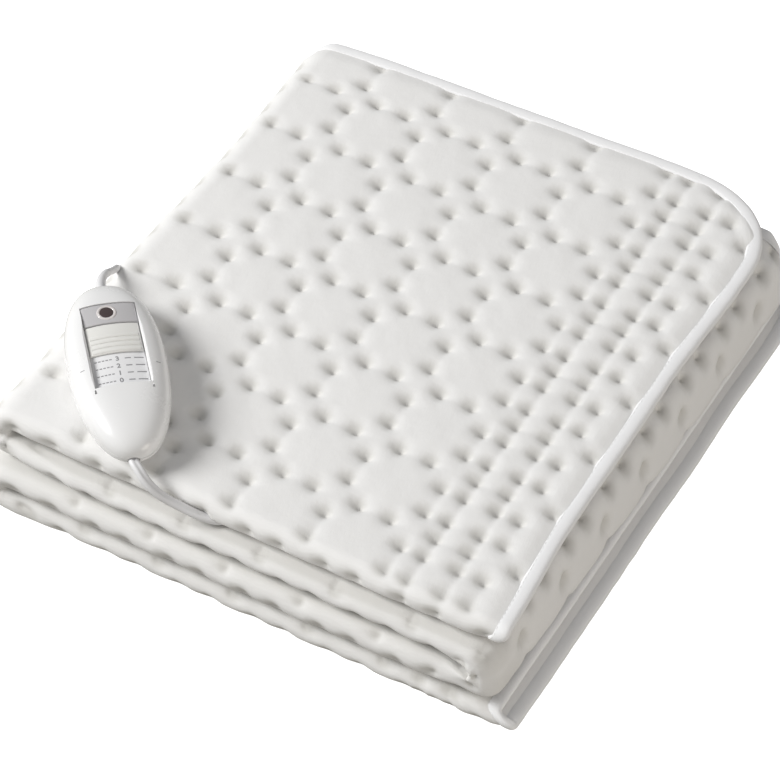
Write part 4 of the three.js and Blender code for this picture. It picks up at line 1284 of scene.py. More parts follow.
@dataclass
class EdgeTape:
    """The tape that binds the pad's edge: folded round it and sewn down."""

    path: FoldedPath
    wide: float = 9.5 * MM
    thick: float = 5.6 * MM
    cloth: float = 0.6 * MM
    beyond: float = 2.3 * MM  # how far it stands out from the cloth's edge
    step: float = 3.2 * MM  # between two sections along the edge
    pucker: Ripple = field(default_factory=lambda: Ripple(21, 0.32, 12))
    wander: Ripple = field(default_factory=lambda: Ripple(22, 1.6))

    def stations(self) -> tuple[Array, Array, Array, Array]:
        """Places all round the edge and which way is outward there, in repeats."""
        path, step = self.path, self.step / PITCH
        edge, length = path.edge, path.length
        rows: list[tuple[float, float, float, float]] = []

        def evenly(start: float, end: float) -> list[float]:
            """Places about one step apart, ends included."""
            return list(np.linspace(start, end, max(2, round(abs(end - start) / step))))

        def across(end: int) -> list[float]:
            """Places along a short end, finer over the fold in its middle."""
            reach = edge - path.corner[end]
            return sorted([w for w in evenly(-reach, reach) if abs(w) > 1] + list(np.linspace(-1, 1, 13)))

        def turn(end: int, sign: int) -> list[tuple[float, float, float, float]]:
            """Places round one corner, with the way outward at each."""
            out, corner = [], path.corner[end]
            for angle in evenly(0, pi / 2 * corner)[1:-1]:
                a = angle / corner
                along = corner - corner * sin(a)
                out.append((length - along if end else along, sign * (edge - corner + corner * cos(a)),
                            (1 if end else -1) * sin(a), sign * cos(a)))
            return out

        sides = evenly(path.corner[0], length - path.corner[1])
        rows += [(s, edge, 0, 1) for s in sides] + turn(1, 1) + [(length, w, 1, 0) for w in across(1)[::-1]]
        rows += turn(1, -1)[::-1] + [(s, -edge, 0, -1) for s in sides[::-1]] + turn(0, -1)
        rows += [(0, w, -1, 0) for w in across(0)] + turn(0, 1)[::-1]
        return tuple(np.array(column, float) for column in zip(*rows))

    def section(self) -> list[Pair]:
        """The folded tape's section: out from the edge, and up from the ply's middle."""
        reach, half, turn = self.wide / 2, self.thick / 2, radians(152)
        middle = self.beyond - reach
        ring = []
        for angle in [*np.linspace(-turn, turn, 23), *np.linspace(turn, -turn, 9)]:
            inset = self.cloth if len(ring) >= 23 else 0.0
            c, s = cos(angle), sin(angle)
            ring.append((middle + (reach - inset) * copysign(abs(c) ** 0.85, c),
                         (half - inset) * copysign(abs(s) ** 0.7, s)))
        return ring

    def points(self, out: float, rise: float, rows: tuple[Array, ...], pucker: Array, sway: Array) -> Array:
        """Points at one place of the section, all round the edge.

        Args:
            out, rise: the place in the section.
            rows: what stations() gives.
            pucker, sway: how far the tape strays, at each station.
        """
        s, w, ns, nw = rows
        middle = (self.path.at(s).thick + self.path.ply_gap) / 4
        reach = (out + 0.12 * MM * pucker + 0.3 * MM * sway) / PITCH
        lift = (rise * (1 + 0.03 * pucker) + 0.15 * MM * sway) / PITCH
        return self.path.place(s + ns * reach, w + nw * reach, middle + lift)

    def build(self, effects: Effects) -> list[Object]:
        """Makes the tape and the stitches along its upper lap."""
        rows = self.stations()
        s, w = rows[0], rows[1]
        pucker, sway = self.pucker.at(s, w), self.wander.at(s, w)
        rings = np.stack([self.points(out, rise, rows, pucker, sway) for out, rise in self.section()], axis=1)
        tape = dressed(loft("edge_tape", rings, hoop=True), "edge_tape", EDGE_TAPE.material(effects),
                       ["binding"])
        seam = self.points(self.beyond - 0.8 * self.wide, self.thick / 2 * 0.9, rows, pucker, sway)
        line = line_curve("seam", seam)
        line.splines[0].use_cyclic_u = True
        thread = SEWING_THREAD.material(effects)
        sewn = grown("tape_stitches", line, stitches_tree(), {
            "Apart": 3.4 * MM, "Long": 2.5 * MM, "Thick": 0.35 * MM, "Seed": 7, "Finish": thread})
        set_uv(sewn, np.array([(v.co.x, v.co.y) for v in sewn.vertices]))
        return [tape, dressed(sewn, "tape_stitches", thread)]


# The hand switch

@dataclass
class HandSwitch:
    """The sliding hand switch, in its own frame: +Y towards its mains end, Z = 0 at its base."""

    path: FoldedPath
    long: float = 127 * MM
    wide: float = 55 * MM
    seam: float = 10 * MM
    high: float = 26 * MM
    at: Pair = (-0.06, 2.52)  # repeats
    turn: float = radians(40)
    sides: int = 160
    squareness: float = 0.9  # power of the outline's sine and cosine: 1 makes an ellipse
    taper: float = 0.07  # how much wider it is at its mains end, as a share
    lower_flatness: float = 3.4
    upper_flatness: float = 3.5
    roundness: float = 2 / 2.6  # of the sides, seen from an end
    track_wide: float = 31 * MM
    track: Pair = (-21 * MM, 41 * MM)
    window_from: float = 25.4 * MM
    slider_from: float = 3.6 * MM
    face_high: float = 25.4 * MM
    face_radius: float = 62 * MM
    track_deep: float = 4.2 * MM
    plate: float = 1.7 * MM
    ridge_apart: float = 3.5 * MM
    ridge_high: float = 1.6 * MM
    ridge_sunk: float = 0.3 * MM  # of their crests under the face
    mark_apart: float = 5.4 * MM  # between two settings on the label
    mains_exit: Triple = (0, 61 * MM, 11.2 * MM)
    pad_exit: Triple = (-1.5 * MM, -60 * MM, 8.4 * MM)
    relief_thick: float = 6 * MM
    lamp_at: Pair = (-1.3 * MM, 33.6 * MM)
    matrix: Matrix = field(init=False)

    def __post_init__(self) -> None:
        """Works out where the switch lies on the top layer."""
        spot = self.path.point(self.at[0], self.at[1], 0)
        spot.z = self.path.top + TOUCH
        self.matrix = Matrix.Translation(spot) @ Matrix.Rotation(self.turn, 4, "Z")

    def placed(self, x: float, y: float, z: float) -> Vector:
        """A point of the switch's own frame, in place."""
        return self.matrix @ Vector((x, y, z))

    def outline(self, scale: float) -> Array:
        """The body's outline from above, at a share of its full size."""
        angle = round_turn(self.sides)
        c, s = np.cos(angle), np.sin(angle)
        y = powered(s, self.squareness) * self.long / 2
        x = powered(c, self.squareness) * self.wide / 2 * (1 + self.taper * y / (self.long / 2))
        return np.stack([x, y], axis=-1) * scale

    def shell(self, name: str, z0: float, z1: float, flatness: float) -> Mesh:
        """Half of the egg-shaped body, from its widest ring at z0 to its flat end at z1."""
        rings = []
        for t in np.linspace(0, pi / 2, 34)[:-1]:
            flat = self.outline(cos(t) ** (2 / flatness))
            height = mix(z0, z1, sin(t) ** self.roundness)
            rings.append(np.column_stack([flat, np.full(self.sides, height)]))
        return loft(name, np.array(rings))

    def arch(self, x: Values, depth: float) -> Values:
        """Height of the rounded face, lowered by a depth."""
        return self.face_high - depth - (self.face_radius - np.sqrt(self.face_radius**2 - np.square(x)))

    @staticmethod
    def rounded(top: float, bottom: float, edge: float) -> list[Pair]:
        """Levels of a strip whose upper edges are rounded off."""
        angles = np.linspace(0, pi / 2, 5)
        return [(bottom, 0.0)] + [
            (top + edge * (1 - sin(a)), -edge * (1 - cos(a))) for a in angles]

    def strip(self, name: str, half: float, start: float, end: float,
              levels: Sequence[Pair], under_skin: float = 0.0) -> Mesh:
        """A strip along Y with the arched section of the switch's face.

        Args:
            name: the mesh's name.
            half: half of its width.
            start: its lower end along Y.
            end: its upper end.
            levels: from the bottom up, a depth under the face and how much wider the strip is there.
            under_skin: if above zero, the strip stays this far under the shell's skin.

        Returns:
            The closed mesh.
        """
        n = 24
        t = np.linspace(-1, 1, n + 1)
        grids = []
        for depth, grow in levels:
            x, y = np.meshgrid((half + grow) * t, mix(start - grow, end + grow, (t + 1) / 2))
            z = self.arch(x, depth)
            if under_skin:
                z = np.minimum(z, self.skin(x, y) - under_skin - (depth - levels[-1][0]))
            grids.append(np.stack([x, y, z], axis=-1).reshape(-1, 3))
        size = (n + 1) ** 2
        index = np.arange(size).reshape(n + 1, n + 1)
        border = [*index[0, :-1], *index[:-1, -1], *index[-1, :0:-1], *index[:0:-1, 0]]
        lid = size * (len(levels) - 1)
        faces = []
        for j in range(n):
            for i in range(n):
                quad = (index[j, i], index[j, i + 1], index[j + 1, i + 1], index[j + 1, i])
                faces += [quad[::-1], tuple(q + lid for q in quad)]
        for low in range(0, lid, size):
            for a, b in zip(border, border[1:] + border[:1]):
                faces.append((a + low, b + low, b + low + size, a + low + size))
        used, compact = np.unique(np.array(faces), return_inverse=True)
        return sharpen(mesh_of(name, np.concatenate(grids)[used], compact.reshape(-1, 4).tolist()))

    def skin(self, x: Array, y: Array) -> Array:
        """Height of the upper shell's skin over a point."""
        power, share = 2 / self.squareness, 0.6
        for _ in range(5):
            full = self.wide / 2 * (1 + self.taper * y / share / (self.long / 2))
            share = ((np.abs(x) / full) ** power + (np.abs(y) / (self.long / 2)) ** power) ** (1 / power)
            share = np.clip(share, 0.05, 0.999)
        turn = np.arccos(share ** (self.upper_flatness / 2))
        return mix(self.seam + TOUCH, self.high, np.sin(turn) ** self.roundness)

    def rod(self, name: str, radius: float, spot: Triple, start: float, end: float) -> Mesh:
        """A round rod about a spot, from one y to another, for a hole."""
        angle = round_turn(40)
        ring = np.stack([spot[0] + radius * np.cos(angle), 0 * angle, spot[2] + radius * np.sin(angle)], -1)
        return loft(name, np.array([ring + (0, start, 0), ring + (0, end, 0)]))

    def shells(self, finish: Material) -> list[Object]:
        """The two halves of the body, with the track and the lead holes cut in."""
        made = []
        for name, node, z0, z1, flatness in (
                ("lower_half", "switch_lower_shell", self.seam, 0.0, self.lower_flatness),
                ("upper_half", "switch_upper_shell", self.seam + TOUCH, self.high, self.upper_flatness)):
            cutters = [
                self.rod("mains_hole", self.relief_thick / 2 + TOUCH, self.mains_exit, 60.5 * MM, 80 * MM),
                self.rod("pad_hole", 3.5 * MM, self.pad_exit, -80 * MM, -54.5 * MM)]
            if z1 > z0:
                lip = [(d * MM, g * MM) for d, g in ((4.2, 0), (-0.1, 0), (-0.5, 0.12), (-0.9, 0.4),
                                                     (-1.2, 0.8), (-1.4, 1.3), (-6, 1.3))]
                cutters.append(self.strip("track_hole", self.track_wide / 2, *self.track, lip))
                for side in (-1, 1):
                    across = side * (self.track_wide / 2 + 0.2 * MM)
                    spot = (across, 0, self.arch(self.track_wide / 2, 0.2 * MM))
                    cutters.append(self.rod("corner_notch", 1.1 * MM, spot, -25.2 * MM, -20.5 * MM))
            mesh = sharpen(carved(self.shell(name, z0, z1, flatness), cutters), 28)
            mesh.transform(self.matrix)
            made.append(dressed(mesh, name, finish, [node]))
        return made

    def plates(self, effects: Effects) -> list[Object]:
        """The window, the label and the slider's plate in their track."""
        half, made = self.track_wide / 2 - TOUCH, []
        low, high = self.track
        label = self.track_deep - TOUCH - self.plate
        rows = (
            ("window_lens", "switch_window", LENS_GREY, Slot.LENS, Body.PAD, half,
             self.window_from + TOUCH, high - TOUCH,
             self.rounded(0.7 * MM, self.track_deep - TOUCH, 0.6 * MM), 0.5 * MM),
            ("label_plate", "switch_label", LABEL_WHITE, Slot.SWITCH, Body.PAD, half,
             low + TOUCH, self.window_from - TOUCH,
             self.rounded(label, self.track_deep - TOUCH, 0.2 * MM), 0.0),
            ("slider_cap", "switch_slider", SLIDER_IVORY, Slot.SLIDER, Body.SLIDER, half - 0.4 * MM,
             self.slider_from, self.window_from - 0.4 * MM,
             self.rounded(0.9 * MM, label - TOUCH, 0.5 * MM), 0.0),
        )
        for name, node, finish, slot, body, wide, start, end, levels, under in rows:
            mesh = self.strip(name, wide, start, end, levels, under)
            mesh.transform(self.matrix)
            made.append(dressed(mesh, name, finish.material(effects), [node], body))
        return made

    def ridges(self, effects: Effects) -> Object:
        """The slider's four grip ridges."""
        inset = 1.9 * MM  # of the ridges from the slider's sides and its lower end
        finish = SLIDER_IVORY.material(effects)
        mesh = grown("slider_ridges", bpy.data.meshes.new("slider_ridges"), ridges_tree(), {
            "Count": 4, "Apart": self.ridge_apart, "Wide": 2.75 * MM, "High": self.ridge_high,
            "Arch radius": self.face_radius - self.ridge_sunk - self.ridge_high / 2,
            "Half angle": asin((self.track_wide / 2 - inset) / self.face_radius), "Finish": finish})
        centre = self.face_high - self.face_radius
        mesh.transform(self.matrix @ Matrix.Translation((0, self.slider_from + inset, centre)))
        return dressed(sharpen(mesh, 50), "slider_ridges", finish, body=Body.SLIDER)

    def prints(self, effects: Effects) -> list[Object]:
        """The label's setting numbers and dashes, and the index marks beside the track."""
        ink = PRINT_GREY.material(effects)
        height = self.arch(0, self.track_deep - TOUCH - self.plate) + 0.02 * MM
        parts = []
        for columns, first, long in ((5, -12.6, 1.4), (1, 5.2, 3.4), (1, 11.4, 5.2)):
            parts.append(grown("dashes", bpy.data.meshes.new("dashes"), marks_tree(), {
                "Columns": columns, "Rows": 4, "Column step": (2.05 * MM, 0, 0),
                "Row step": (0, -self.mark_apart, 0), "First": (first * MM, -0.5 * MM, height),
                "Dash": (long * MM, 0.75 * MM, 0.05 * MM), "Arch radius": self.face_radius, "Finish": ink}))
        for number in range(4):
            spot = (-0.6 * MM, -16.7 * MM + self.mark_apart * number, height)
            parts.append(digit(str(number), 4.4 * MM, spot))
        for x in (-20.8 * MM, 21.2 * MM):
            xs, ys = np.linspace(x - 1.2 * MM, x + 1.2 * MM, 7), np.array([-6.85, -6.4]) * MM
            ring = np.array([[(u, v, self.skin(u, v) + 0.02 * MM) for v in ys] for u in xs])
            lifted = np.concatenate([ring, ring[:, ::-1] + (0, 0, 0.05 * MM)], axis=1)
            parts.append(loft("index_mark", lifted))
        mesh = joined("switch_print", parts)
        mesh.transform(self.matrix)
        return [dressed(mesh, "switch_print", ink)]

    def lamp(self, effects: Effects) -> list[Object]:
        """The lamp's eye behind the window, a dark dome of painted shade for the lamp's inside seen through
        its clear lens, with its pale rim.
        """
        x, y = self.lamp_at
        spot = Matrix.Translation((x, y, self.arch(x, 0.8 * MM) - 0.1 * MM))
        turns = np.linspace(0, 2 * pi, 41)[:-1]
        rim = np.array([[((4.7 * MM + 0.9 * MM * cos(b)) * cos(a),
                          (4.7 * MM + 0.9 * MM * cos(b)) * sin(a), 0.5 * MM * sin(b))
                         for b in turns[::5]] for a in turns])
        eye = np.array([[(r * MM * cos(a), r * MM * sin(a), z * MM) for a in turns]
                        for r, z in ((4.1, -0.2), (4.1, 0.1), (3.6, 0.26), (2.2, 0.42), (0.7, 0.48))])
        made = []
        for name, mesh, finish in (("lamp_rim", loft("lamp_rim", rim, hoop=True), LAMP_RIM),
                                   ("lamp_eye", loft("lamp_eye", eye), LAMP_PAINTED_SHADE)):
            mesh.transform(self.matrix @ spot)
            made.append(dressed(mesh, name, finish.material(effects)))
        return made

    def build(self, effects: Effects) -> list[Object]:
        """Makes the whole hand switch."""
        made = self.shells(SHELL_WHITE.material(effects)) + self.plates(effects)
        return made + [self.ridges(effects)] + self.prints(effects) + self.lamp(effects)


def digit(text: str, size: float, spot: Triple) -> Mesh:
    """A printed number at a spot."""
    letters = bpy.data.curves.new("digit", "FONT")
    letters.body, letters.size, letters.extrude, letters.offset = text, size, 0.025 * MM, 0.12 * MM
    letters.align_x = letters.align_y = "CENTER"
    mesh = baked(object_of(letters, "digit"), "digit")
    mesh.transform(Matrix.Translation(spot))
    return mesh


def joined(name: str, parts: Sequence[Mesh]) -> Mesh:
    """One mesh from several."""
    points, faces = [], []
    for part in parts:
        first = len(points)
        points += [v.co[:] for v in part.vertices]
        faces += [tuple(first + i for i in p.vertices) for p in part.polygons]
    mesh = mesh_of(name, points, faces)
    mesh.shade_flat()
    return mesh


# Leads

def through(points: Sequence[Vector], step: float) -> Array:
    """A smooth line through points, with its own points a step apart."""
    p = np.array([tuple(q) for q in points])
    p = np.concatenate([[2 * p[0] - p[1]], p, [2 * p[-1] - p[-2]]])
    dense = []
    for a, b, c, d in zip(p, p[1:], p[2:], p[3:]):
        ta, tb, tc = (max(np.linalg.norm(x - y) ** 0.5, 1e-6) for x, y in ((a, b), (b, c), (c, d)))
        first = ((b - a) / ta - (c - a) / (ta + tb) + (c - b) / tb) * tb
        then = ((c - b) / tb - (d - b) / (tb + tc) + (d - c) / tc) * tb
        t = np.linspace(0, 1, 24, endpoint=False)[:, None]
        dense.append(b + first * t + (-3 * b + 3 * c - 2 * first - then) * t**2
                     + (2 * b - 2 * c + first + then) * t**3)
    dense = np.concatenate([*dense, [p[-2]]])
    whole = length_of(dense)
    return at_places(dense, np.linspace(0, whole, max(2, round(whole / step)) + 1))


def length_of(line: Array) -> float:
    """Length of a line of points."""
    return float(run_along(line)[-1])


def tube(name: str, line: Array, section: Array, scale: Values = 1.0) -> Mesh:
    """A tube along a line, whose section stays level: its first axis lies flat.

    Args:
        name: the mesh's name.
        line: points along the middle.
        section: the outline, one (across, up) for each point.
        scale: the section's size, one for all or one for each point of the line.

    Returns:
        The closed mesh.
    """
    size = np.broadcast_to(scale, len(line))[:, None, None]
    ahead = np.gradient(line, axis=0)
    ahead /= np.linalg.norm(ahead, axis=1, keepdims=True)
    side = np.cross(ahead, (0, 0, 1))
    side /= np.linalg.norm(side, axis=1, keepdims=True)
    over = np.cross(side, ahead)
    across, up = section[None, :, :1], section[None, :, 1:]
    return loft(name, line[:, None] + size * (side[:, None] * across + over[:, None] * up))


@dataclass
class Leads:
    """The lead to the pad, and the mains lead with its coil and plug."""

    path: FoldedPath
    switch: HandSwitch
    mains_thick: float = 4.4 * MM
    twin_wide: float = 6.0 * MM
    twin_thick: float = 4.4 * MM
    relief_long: float = 21 * MM
    floor: float = 2.2 * MM / PITCH
    coil_inner: float = 18.4 * MM  # radius of its innermost turns
    coil_from: float = radians(-13)  # where the lead comes onto the coil
    coil_sweep: float = 3767.0  # degrees that it goes round
    first_shift: float = 32.0  # degrees to its first change from one row to another
    shift_apart: float = 330.0  # between two changes
    shift_long: float = 120.0  # that one change takes
    tie_angle: float = radians(140.6)
    tie_lift: float = 1.1 * MM  # how far the tie lifts the turns off the floor
    coil_order: tuple[tuple[int, int], ...] = (
        (3, 0), (2, 0), (1, 0), (0, 0), (0, 1), (0, 2), (1, 2),
        (1, 1), (2, 1), (2, 2), (3, 2), (3, 1), (3, 0))

    def twin_line(self) -> Array:
        """The way of the lead from the switch to its place between the top two layers."""
        x, y, z = self.switch.pad_exit
        route = [(0.88, 3.632, 1.66), (0.975, 3.675, 1.605), (1.075, 3.69, 1.53), (1.18, 3.68, 1.45),
                 (1.29, 3.65, 1.38), (1.42, 3.615, 1.315), (1.56, 3.58, 1.255), (1.70, 3.535, 1.20),
                 (1.83, 3.46, 1.155), (1.95, 3.34, 1.13), (2.045, 3.18, 1.124), (2.11, 3.00, 1.124),
                 (2.14, 2.80, 1.124)]
        start = [self.switch.placed(x, y + back * MM, z) for back in (5, 0.5, -3.5)]
        return through(start + [self.path.point(*spot) for spot in route], 1.5 * MM)

    def mains_line(self) -> Array:
        """The way of the mains lead, from the switch over the pad's side and round its coil."""
        x, y, z = self.switch.mains_exit
        start = [self.switch.placed(x, y + far * MM, z) for far in (0.5, 4.5)]
        f = self.floor
        route = [(-1.008, 1.36, 1.735), (-1.045, 1.25, 1.715), (-1.062, 1.14, 1.67), (-1.07, 1.03, 1.60),
                 (-1.085, 0.93, 1.53), (-1.115, 0.83, 1.45), (-1.165, 0.745, 1.35), (-1.22, 0.68, 1.21),
                 (-1.255, 0.63, 1.06), (-1.275, 0.60, 0.92), (-1.29, 0.58, 0.77), (-1.317, 0.59, 0.57),
                 (-1.345, 0.65, 0.38), (-1.34, 0.79, 0.19), (-1.325, 0.98, 0.085), (-1.315, 1.20, f),
                 (-1.33, 1.50, f), (-1.36, 1.80, f), (-1.40, 2.10, f),
                 (-1.47, 2.40, f), (-1.565, 2.68, f), (-1.64, 2.92, f), (-1.674, 3.088, f)]
        coil, tail = self.coil_line(), self.tail_line()
        led = start + [self.path.point(*spot) for spot in route] + [Vector(coil[0]), Vector(coil[3])]
        way = through(led, 3 * MM)
        last = int(np.linalg.norm(way - coil[0], axis=1).argmin())
        return np.concatenate([way[:last], coil, tail[1:]])

    def coil_line(self) -> Array:
        """The turns of the coil, each beside or on another, wound from the outside in and back."""
        centre = self.path.point(*COIL_AT, 0)
        travel = np.radians([*np.arange(0, self.coil_sweep, 6.0), self.coil_sweep])
        angle = self.coil_from - travel
        across = np.full_like(travel, self.coil_order[0][0], dtype=float)
        high = np.zeros_like(travel)
        for i, (before, after) in enumerate(zip(self.coil_order, self.coil_order[1:])):
            start = radians(self.first_shift + self.shift_apart * i)
            share = smooth((travel - start) / radians(self.shift_long))
            across += (after[0] - before[0]) * share
            high += (after[1] - before[1]) * share
        radius = self.coil_inner + self.mains_thick * across
        off = (angle - self.tie_angle + pi) % (2 * pi) - pi
        lift = self.tie_lift * np.exp(-((off / radians(31)) ** 2))
        return np.stack([centre.x + radius * np.cos(angle), centre.y + radius * np.sin(angle),
                         self.mains_thick * (0.5 + high) + lift], axis=-1)

    def tail_line(self) -> Array:
        """The last stretch, which rises from the floor into the plug's relief."""
        start = self.plug_spot()
        floor = self.mains_thick / 2
        y = np.concatenate([np.linspace(-16.9, -4, 4), np.linspace(0, 20, 9), [22.5]]) * MM
        height = mix(floor, start.z, smooth(y / (20 * MM)))
        return np.stack([np.full_like(y, start.x), start.y + y, height], axis=-1)

    def plug_spot(self) -> Vector:
        """Where the tail starts to rise, at the plug's height."""
        centre = self.path.point(*COIL_AT, 0)
        return Vector((centre.x - self.coil_inner - 3 * self.mains_thick, centre.y + 0.36 * PITCH, 6.85 * MM))

    def swept(self, name: str, sections: Sequence[tuple[float, ...]], power: float = 1.0,
              sides: int = 32) -> Mesh:
        """A form along +Y from the plug's spot.

        Args:
            name: the mesh's name.
            sections: for each one its y, half width and half height.
            power: 1 for round ones, less for squarer ones.
            sides: points round it.
        """
        spot, angle = self.plug_spot(), (np.arange(sides) + 0.5) / sides * 2 * pi
        c, s = np.cos(angle), np.sin(angle)
        rings = [np.stack([spot.x + powered(c, power) * wide, np.full(sides, spot.y + y),
                           spot.z + powered(s, power) * high], axis=-1)
                 for y, wide, high in sections]
        return loft(name, np.array(rings))

    def ribbed(self) -> list[Pair]:
        """Places and radii along the plug's relief: a taper with grooves between its ribs."""
        rows, ribs = [], 6
        for t in np.linspace(0, 1, ribs * 8 + 1):
            groove = 0.45 * MM * smooth(1.6 * sin(t * ribs * 2 * pi) - 0.3) if 0.03 < t < 0.97 else 0
            rows.append((mix(20.3 * MM, 44.3 * MM, t), mix(2.7 * MM, 4.5 * MM, t) - groove))
        return rows

    def build_twin(self, effects: Effects) -> Object:
        """Makes the twin lead to the pad."""
        angle = round_turn(28)
        across = self.twin_wide / 2 * powered(np.cos(angle), 0.9)
        waist = 1 - 0.34 * np.exp(-((across / (0.7 * MM)) ** 2))
        section = np.stack([across, self.twin_thick / 2 * np.sin(angle) * waist], axis=-1)
        line = self.twin_line()
        lead = dressed(tube("twin_cord", line, section), "twin_cord", LEAD_WHITE.material(effects),
                       ["pad_lead"])
        return lead

    def build_mains(self, effects: Effects) -> list[Object]:
        """Makes the mains lead, its reliefs, the tie and the plug."""
        line = self.mains_line()
        curve = line_curve("mains_cord", line)
        curve.bevel_depth, curve.bevel_resolution, curve.use_fill_caps = self.mains_thick / 2, 3, True
        curve.splines[0].use_smooth = True
        curve.materials.append(LEAD_WHITE.material(effects))
        lead = object_of(curve, "mains_cord")
        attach(lead, Body.PAD.value)
        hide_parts("mains_lead", "lead_coil", "lead_tail")
        pieces = self.build_plug(effects) + [self.build_tie(effects), self.build_relief(effects)]
        return [lead, *pieces]

    def build_relief(self, effects: Effects) -> Object:
        """Makes the smooth relief at the switch, which bends with the lead."""
        at = np.linspace(TOUCH, self.relief_long, 22)
        angle = round_turn(28)
        circle = np.stack([np.cos(angle), np.sin(angle)], axis=-1)
        thin = self.mains_thick / 2 + 0.25 * MM
        radii = mix(self.switch.relief_thick / 2, thin, smooth(at / self.relief_long))
        mesh = tube("cord_relief", at_places(self.mains_line()[:12], at), circle, radii)
        return dressed(mesh, "cord_relief", LEAD_WHITE.material(effects), ["mains_relief"])

    def build_tie(self, effects: Effects) -> Object:
        """Makes the band round the coil."""
        wide, high, bevel = 9.9 * MM, 7.3 * MM, 3.2 * MM
        loop = []
        for cx, cy, first in ((1, 1, 0), (-1, 1, 90), (-1, -1, 180), (1, -1, 270)):
            for a in np.radians(np.linspace(first, first + 90, 7)):
                loop.append((cx * (wide - bevel) + bevel * cos(a), cy * (high - bevel) + bevel * sin(a),
                             cos(a), sin(a)))
        section = [(-3.5, -0.2), (-3.3, -0.4), (3.3, -0.4), (3.5, -0.2),
                   (3.5, 0.2), (3.3, 0.4), (-3.3, 0.4), (-3.5, 0.2)]
        rings = np.array([[(x + nx * out * MM, side * MM, z + nz * out * MM) for side, out in section]
                          for x, z, nx, nz in loop])
        mesh = loft("coil_band", rings, hoop=True)
        centre = self.path.point(*COIL_AT, 0)
        centre.z = 7.7 * MM
        turned = Matrix.Translation(centre) @ Matrix.Rotation(self.tie_angle, 4, "Z")
        mesh.transform(turned @ Matrix.Translation((self.coil_inner + 1.5 * self.mains_thick, 0, 0)))
        return dressed(sharpen(mesh, 50), "coil_band", EDGE_TAPE.material(effects), ["coil_tie"])

    def build_plug(self, effects: Effects) -> list[Object]:
        """Makes the plug, its relief and its two pins."""
        white, nickel = PLUG_WHITE.material(effects), PIN_NICKEL.material(effects)
        relief = [(y, r, r * 0.97) for y, r in self.ribbed()]
        knots = ((0, 0.34, 0.76), (1, 0.36, 0.8), (6, 0.62, 0.93), (12, 0.86, 0.98), (18, 0.97, 1.0),
                 (26, 1.0, 1.0), (31.6, 1.0, 1.0), (32.6, 0.985, 0.96), (33, 0.95, 0.9))
        at, wide, high = zip(*knots)
        ys = np.concatenate([np.linspace(0, 31.6, 22), [32.0, 32.4, 32.7, 33]])
        body = [((44.6 + y) * MM, np.interp(y, at, wide) * 17.65 * MM, np.interp(y, at, high) * 6.85 * MM)
                for y in ys]
        made = [dressed(self.swept("plug_sleeve", relief), "plug_sleeve", white, ["plug_relief"]),
                dressed(sharpen(self.swept("plug_shell", body, 0.45, 56), 40), "plug_shell", white,
                        ["plug_body"])]
        for name, node, side in (("left_pin", "plug_pin_left", -1), ("right_pin", "plug_pin_right", 1)):
            rows = [((77.9 + y) * MM, r * MM, r * MM)
                    for y, r in ((0, 2), (15.6, 2), (17, 1.9), (18, 1.5), (18.5, 0.9), (18.7, 0.3))]
            mesh = sharpen(self.swept(name, rows, sides=28), 40)
            mesh.transform(Matrix.Translation((side * 9.3 * MM, 0, 0)))
            made.append(dressed(mesh, name, nickel, [node]))
        return made


# Studio

@dataclass(frozen=True)
class Camera:
    """The photograph's view of the pad."""

    aim: Triple = (2.69974, 0.91731, 1.45)  # repeats: right, forward, up
    azimuth: float = radians(26.37893)
    elevation: float = radians(47.57837)
    roll: float = radians(2.81156)
    distance: float = 47.02848 * PITCH
    lens: float = 183.93

    def build(self, path: FoldedPath) -> None:
        """Makes the camera and looks through it.

        Args:
            path: the folded pad that it looks at.
        """
        az, el = self.azimuth, self.elevation
        back = Vector((sin(az) * cos(el), -cos(az) * cos(el), sin(el)))
        level = Vector((cos(az), sin(az), 0))
        right = level * cos(self.roll) + back.cross(level) * sin(self.roll)
        turned = Matrix((right, back.cross(right), back)).transposed().to_4x4()
        data = bpy.data.cameras.new("view")
        data.lens, data.sensor_width = self.lens, 36.0
        data.clip_start, data.clip_end = 0.1, 50
        camera = object_of(data, "view")
        camera.matrix_world = Matrix.Translation(path.point(*self.aim) + back * self.distance) @ turned
        bpy.context.scene.camera = camera


@dataclass(frozen=True)
class SoftLight:
    """A round soft light that shines at the pad."""

    name: str
    azimuth: float  # degrees, 0 in front of the pad and 90 to its right
    elevation: float  # degrees
    distance: float
    size: float  # across
    power: float  # watts
    colour: Colour

    def build(self) -> None:
        """Makes the light."""
        data = bpy.data.lights.new(self.name, "AREA")
        data.shape, data.size, data.energy, data.color = "DISK", self.size, self.power, self.colour
        lamp = object_of(data, self.name)
        az, el = radians(self.azimuth), radians(self.elevation)
        toward = Vector((sin(az) * cos(el), -cos(az) * cos(el), sin(el)))
        lamp.location = toward * self.distance
        lamp.rotation_euler = toward.to_track_quat("Z", "Y").to_euler()


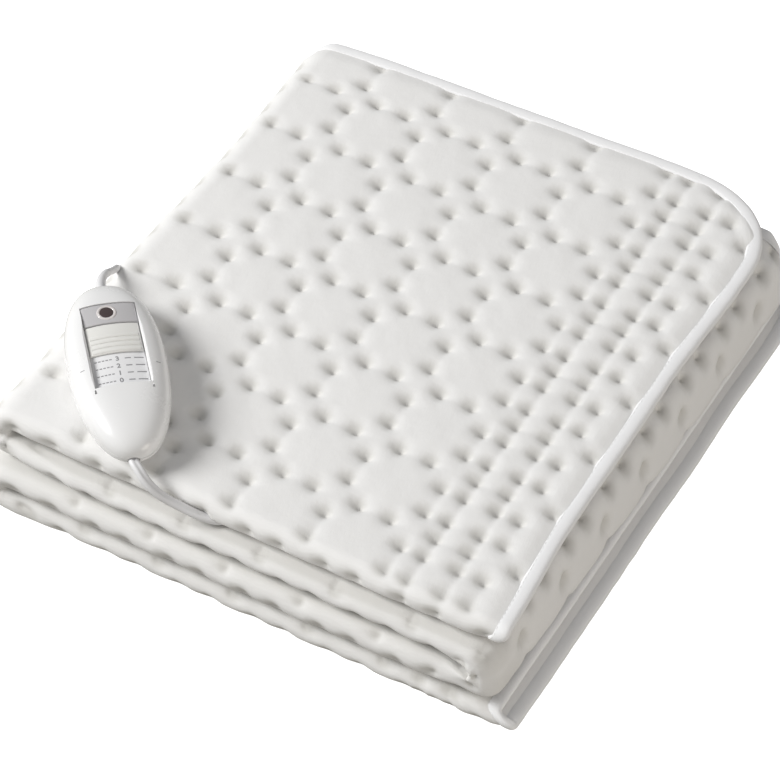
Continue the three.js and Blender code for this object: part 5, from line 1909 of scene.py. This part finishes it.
@dataclass(frozen=True)
class Studio:
    """The pale floor, the lights and the camera."""

    camera: Camera = Camera()
    lights: tuple[SoftLight, ...] = (
        SoftLight("window", -66, 34, 5.0, 2.2, 248.0, (1.0, 0.995, 0.985)),
        SoftLight("far_wall", 78, 12, 4.0, 2.4, 54.0, (1.0, 0.93, 0.84)),
    )
    sky: Colour = (0.985, 0.99, 1.0)
    sky_strength: float = 0.295
    floor_glow: float = 1.0
    bounce: Colour = (0.34, 0.33, 0.30)  # of the floor's light, which warms the sides
    floor_half: float = 6.0

    def build(self, path: FoldedPath) -> None:
        """Sets the stage."""
        self.camera.build(path)
        for light in self.lights:
            light.build()
        world = bpy.data.worlds.new("studio")
        world.use_nodes = True
        background = world.node_tree.nodes["Background"]
        background.inputs["Color"].default_value = (*self.sky, 1)
        background.inputs["Strength"].default_value = self.sky_strength
        bpy.context.scene.world = world
        bpy.context.scene.view_settings.view_transform = "Standard"
        self.floor()

    def floor(self) -> Object:
        """Makes the floor, which glows a little so that it stays white."""
        h = self.floor_half
        mesh = mesh_of("floor", [(-h, -h, 0), (h, -h, 0), (h, h, 0), (-h, h, 0)], [(0, 1, 2, 3)])
        material, wiring, shader = new_material("pale_floor", (0.9, 0.9, 0.9))
        place = wiring.add("ShaderNodeTexCoord").outputs["Object"]
        cloud = wiring.add("ShaderNodeTexNoise", {"Vector": place, "Scale": 6.0, "Detail": 3.0})
        pale = wiring.blend(cloud, (0.90, 0.90, 0.90, 1), (0.88, 0.88, 0.885, 1))
        seen = wiring.add("ShaderNodeLightPath").outputs["Is Camera Ray"]
        wiring.feed(shader, {
            "Base Color": wiring.blend(seen, (*self.bounce, 1), pale), "Roughness": 0.9,
            "Emission Color": (1, 1, 1, 1),
            "Emission Strength": wiring.maths("MULTIPLY", seen, self.floor_glow)})
        mesh.materials.append(material)
        obj = object_of(mesh, "floor")
        obj.location.z = -0.2 * MM
        return obj


def main() -> None:
    """Builds every piece and the studio."""
    logging.basicConfig(level=logging.INFO, format="%(message)s")
    path, effects = FoldedPath(), Effects()
    switch = HandSwitch(path)
    leads = Leads(path, switch)
    Studio().build(path)
    pieces = [*leads.build_mains(effects), leads.build_twin(effects)]
    pieces.append(QuiltedPad(path).build(effects, leads.twin_line(), leads.twin_wide / 2 + 0.4 * MM))
    pieces += EdgeTape(path).build(effects) + switch.build(effects)
    for piece in pieces:
        made_of = "curve" if piece.type == "CURVE" else f"{len(piece.data.polygons)} faces"
        log.info("%s: %s", piece.name, made_of)


if __name__ == "__main__":
    main()
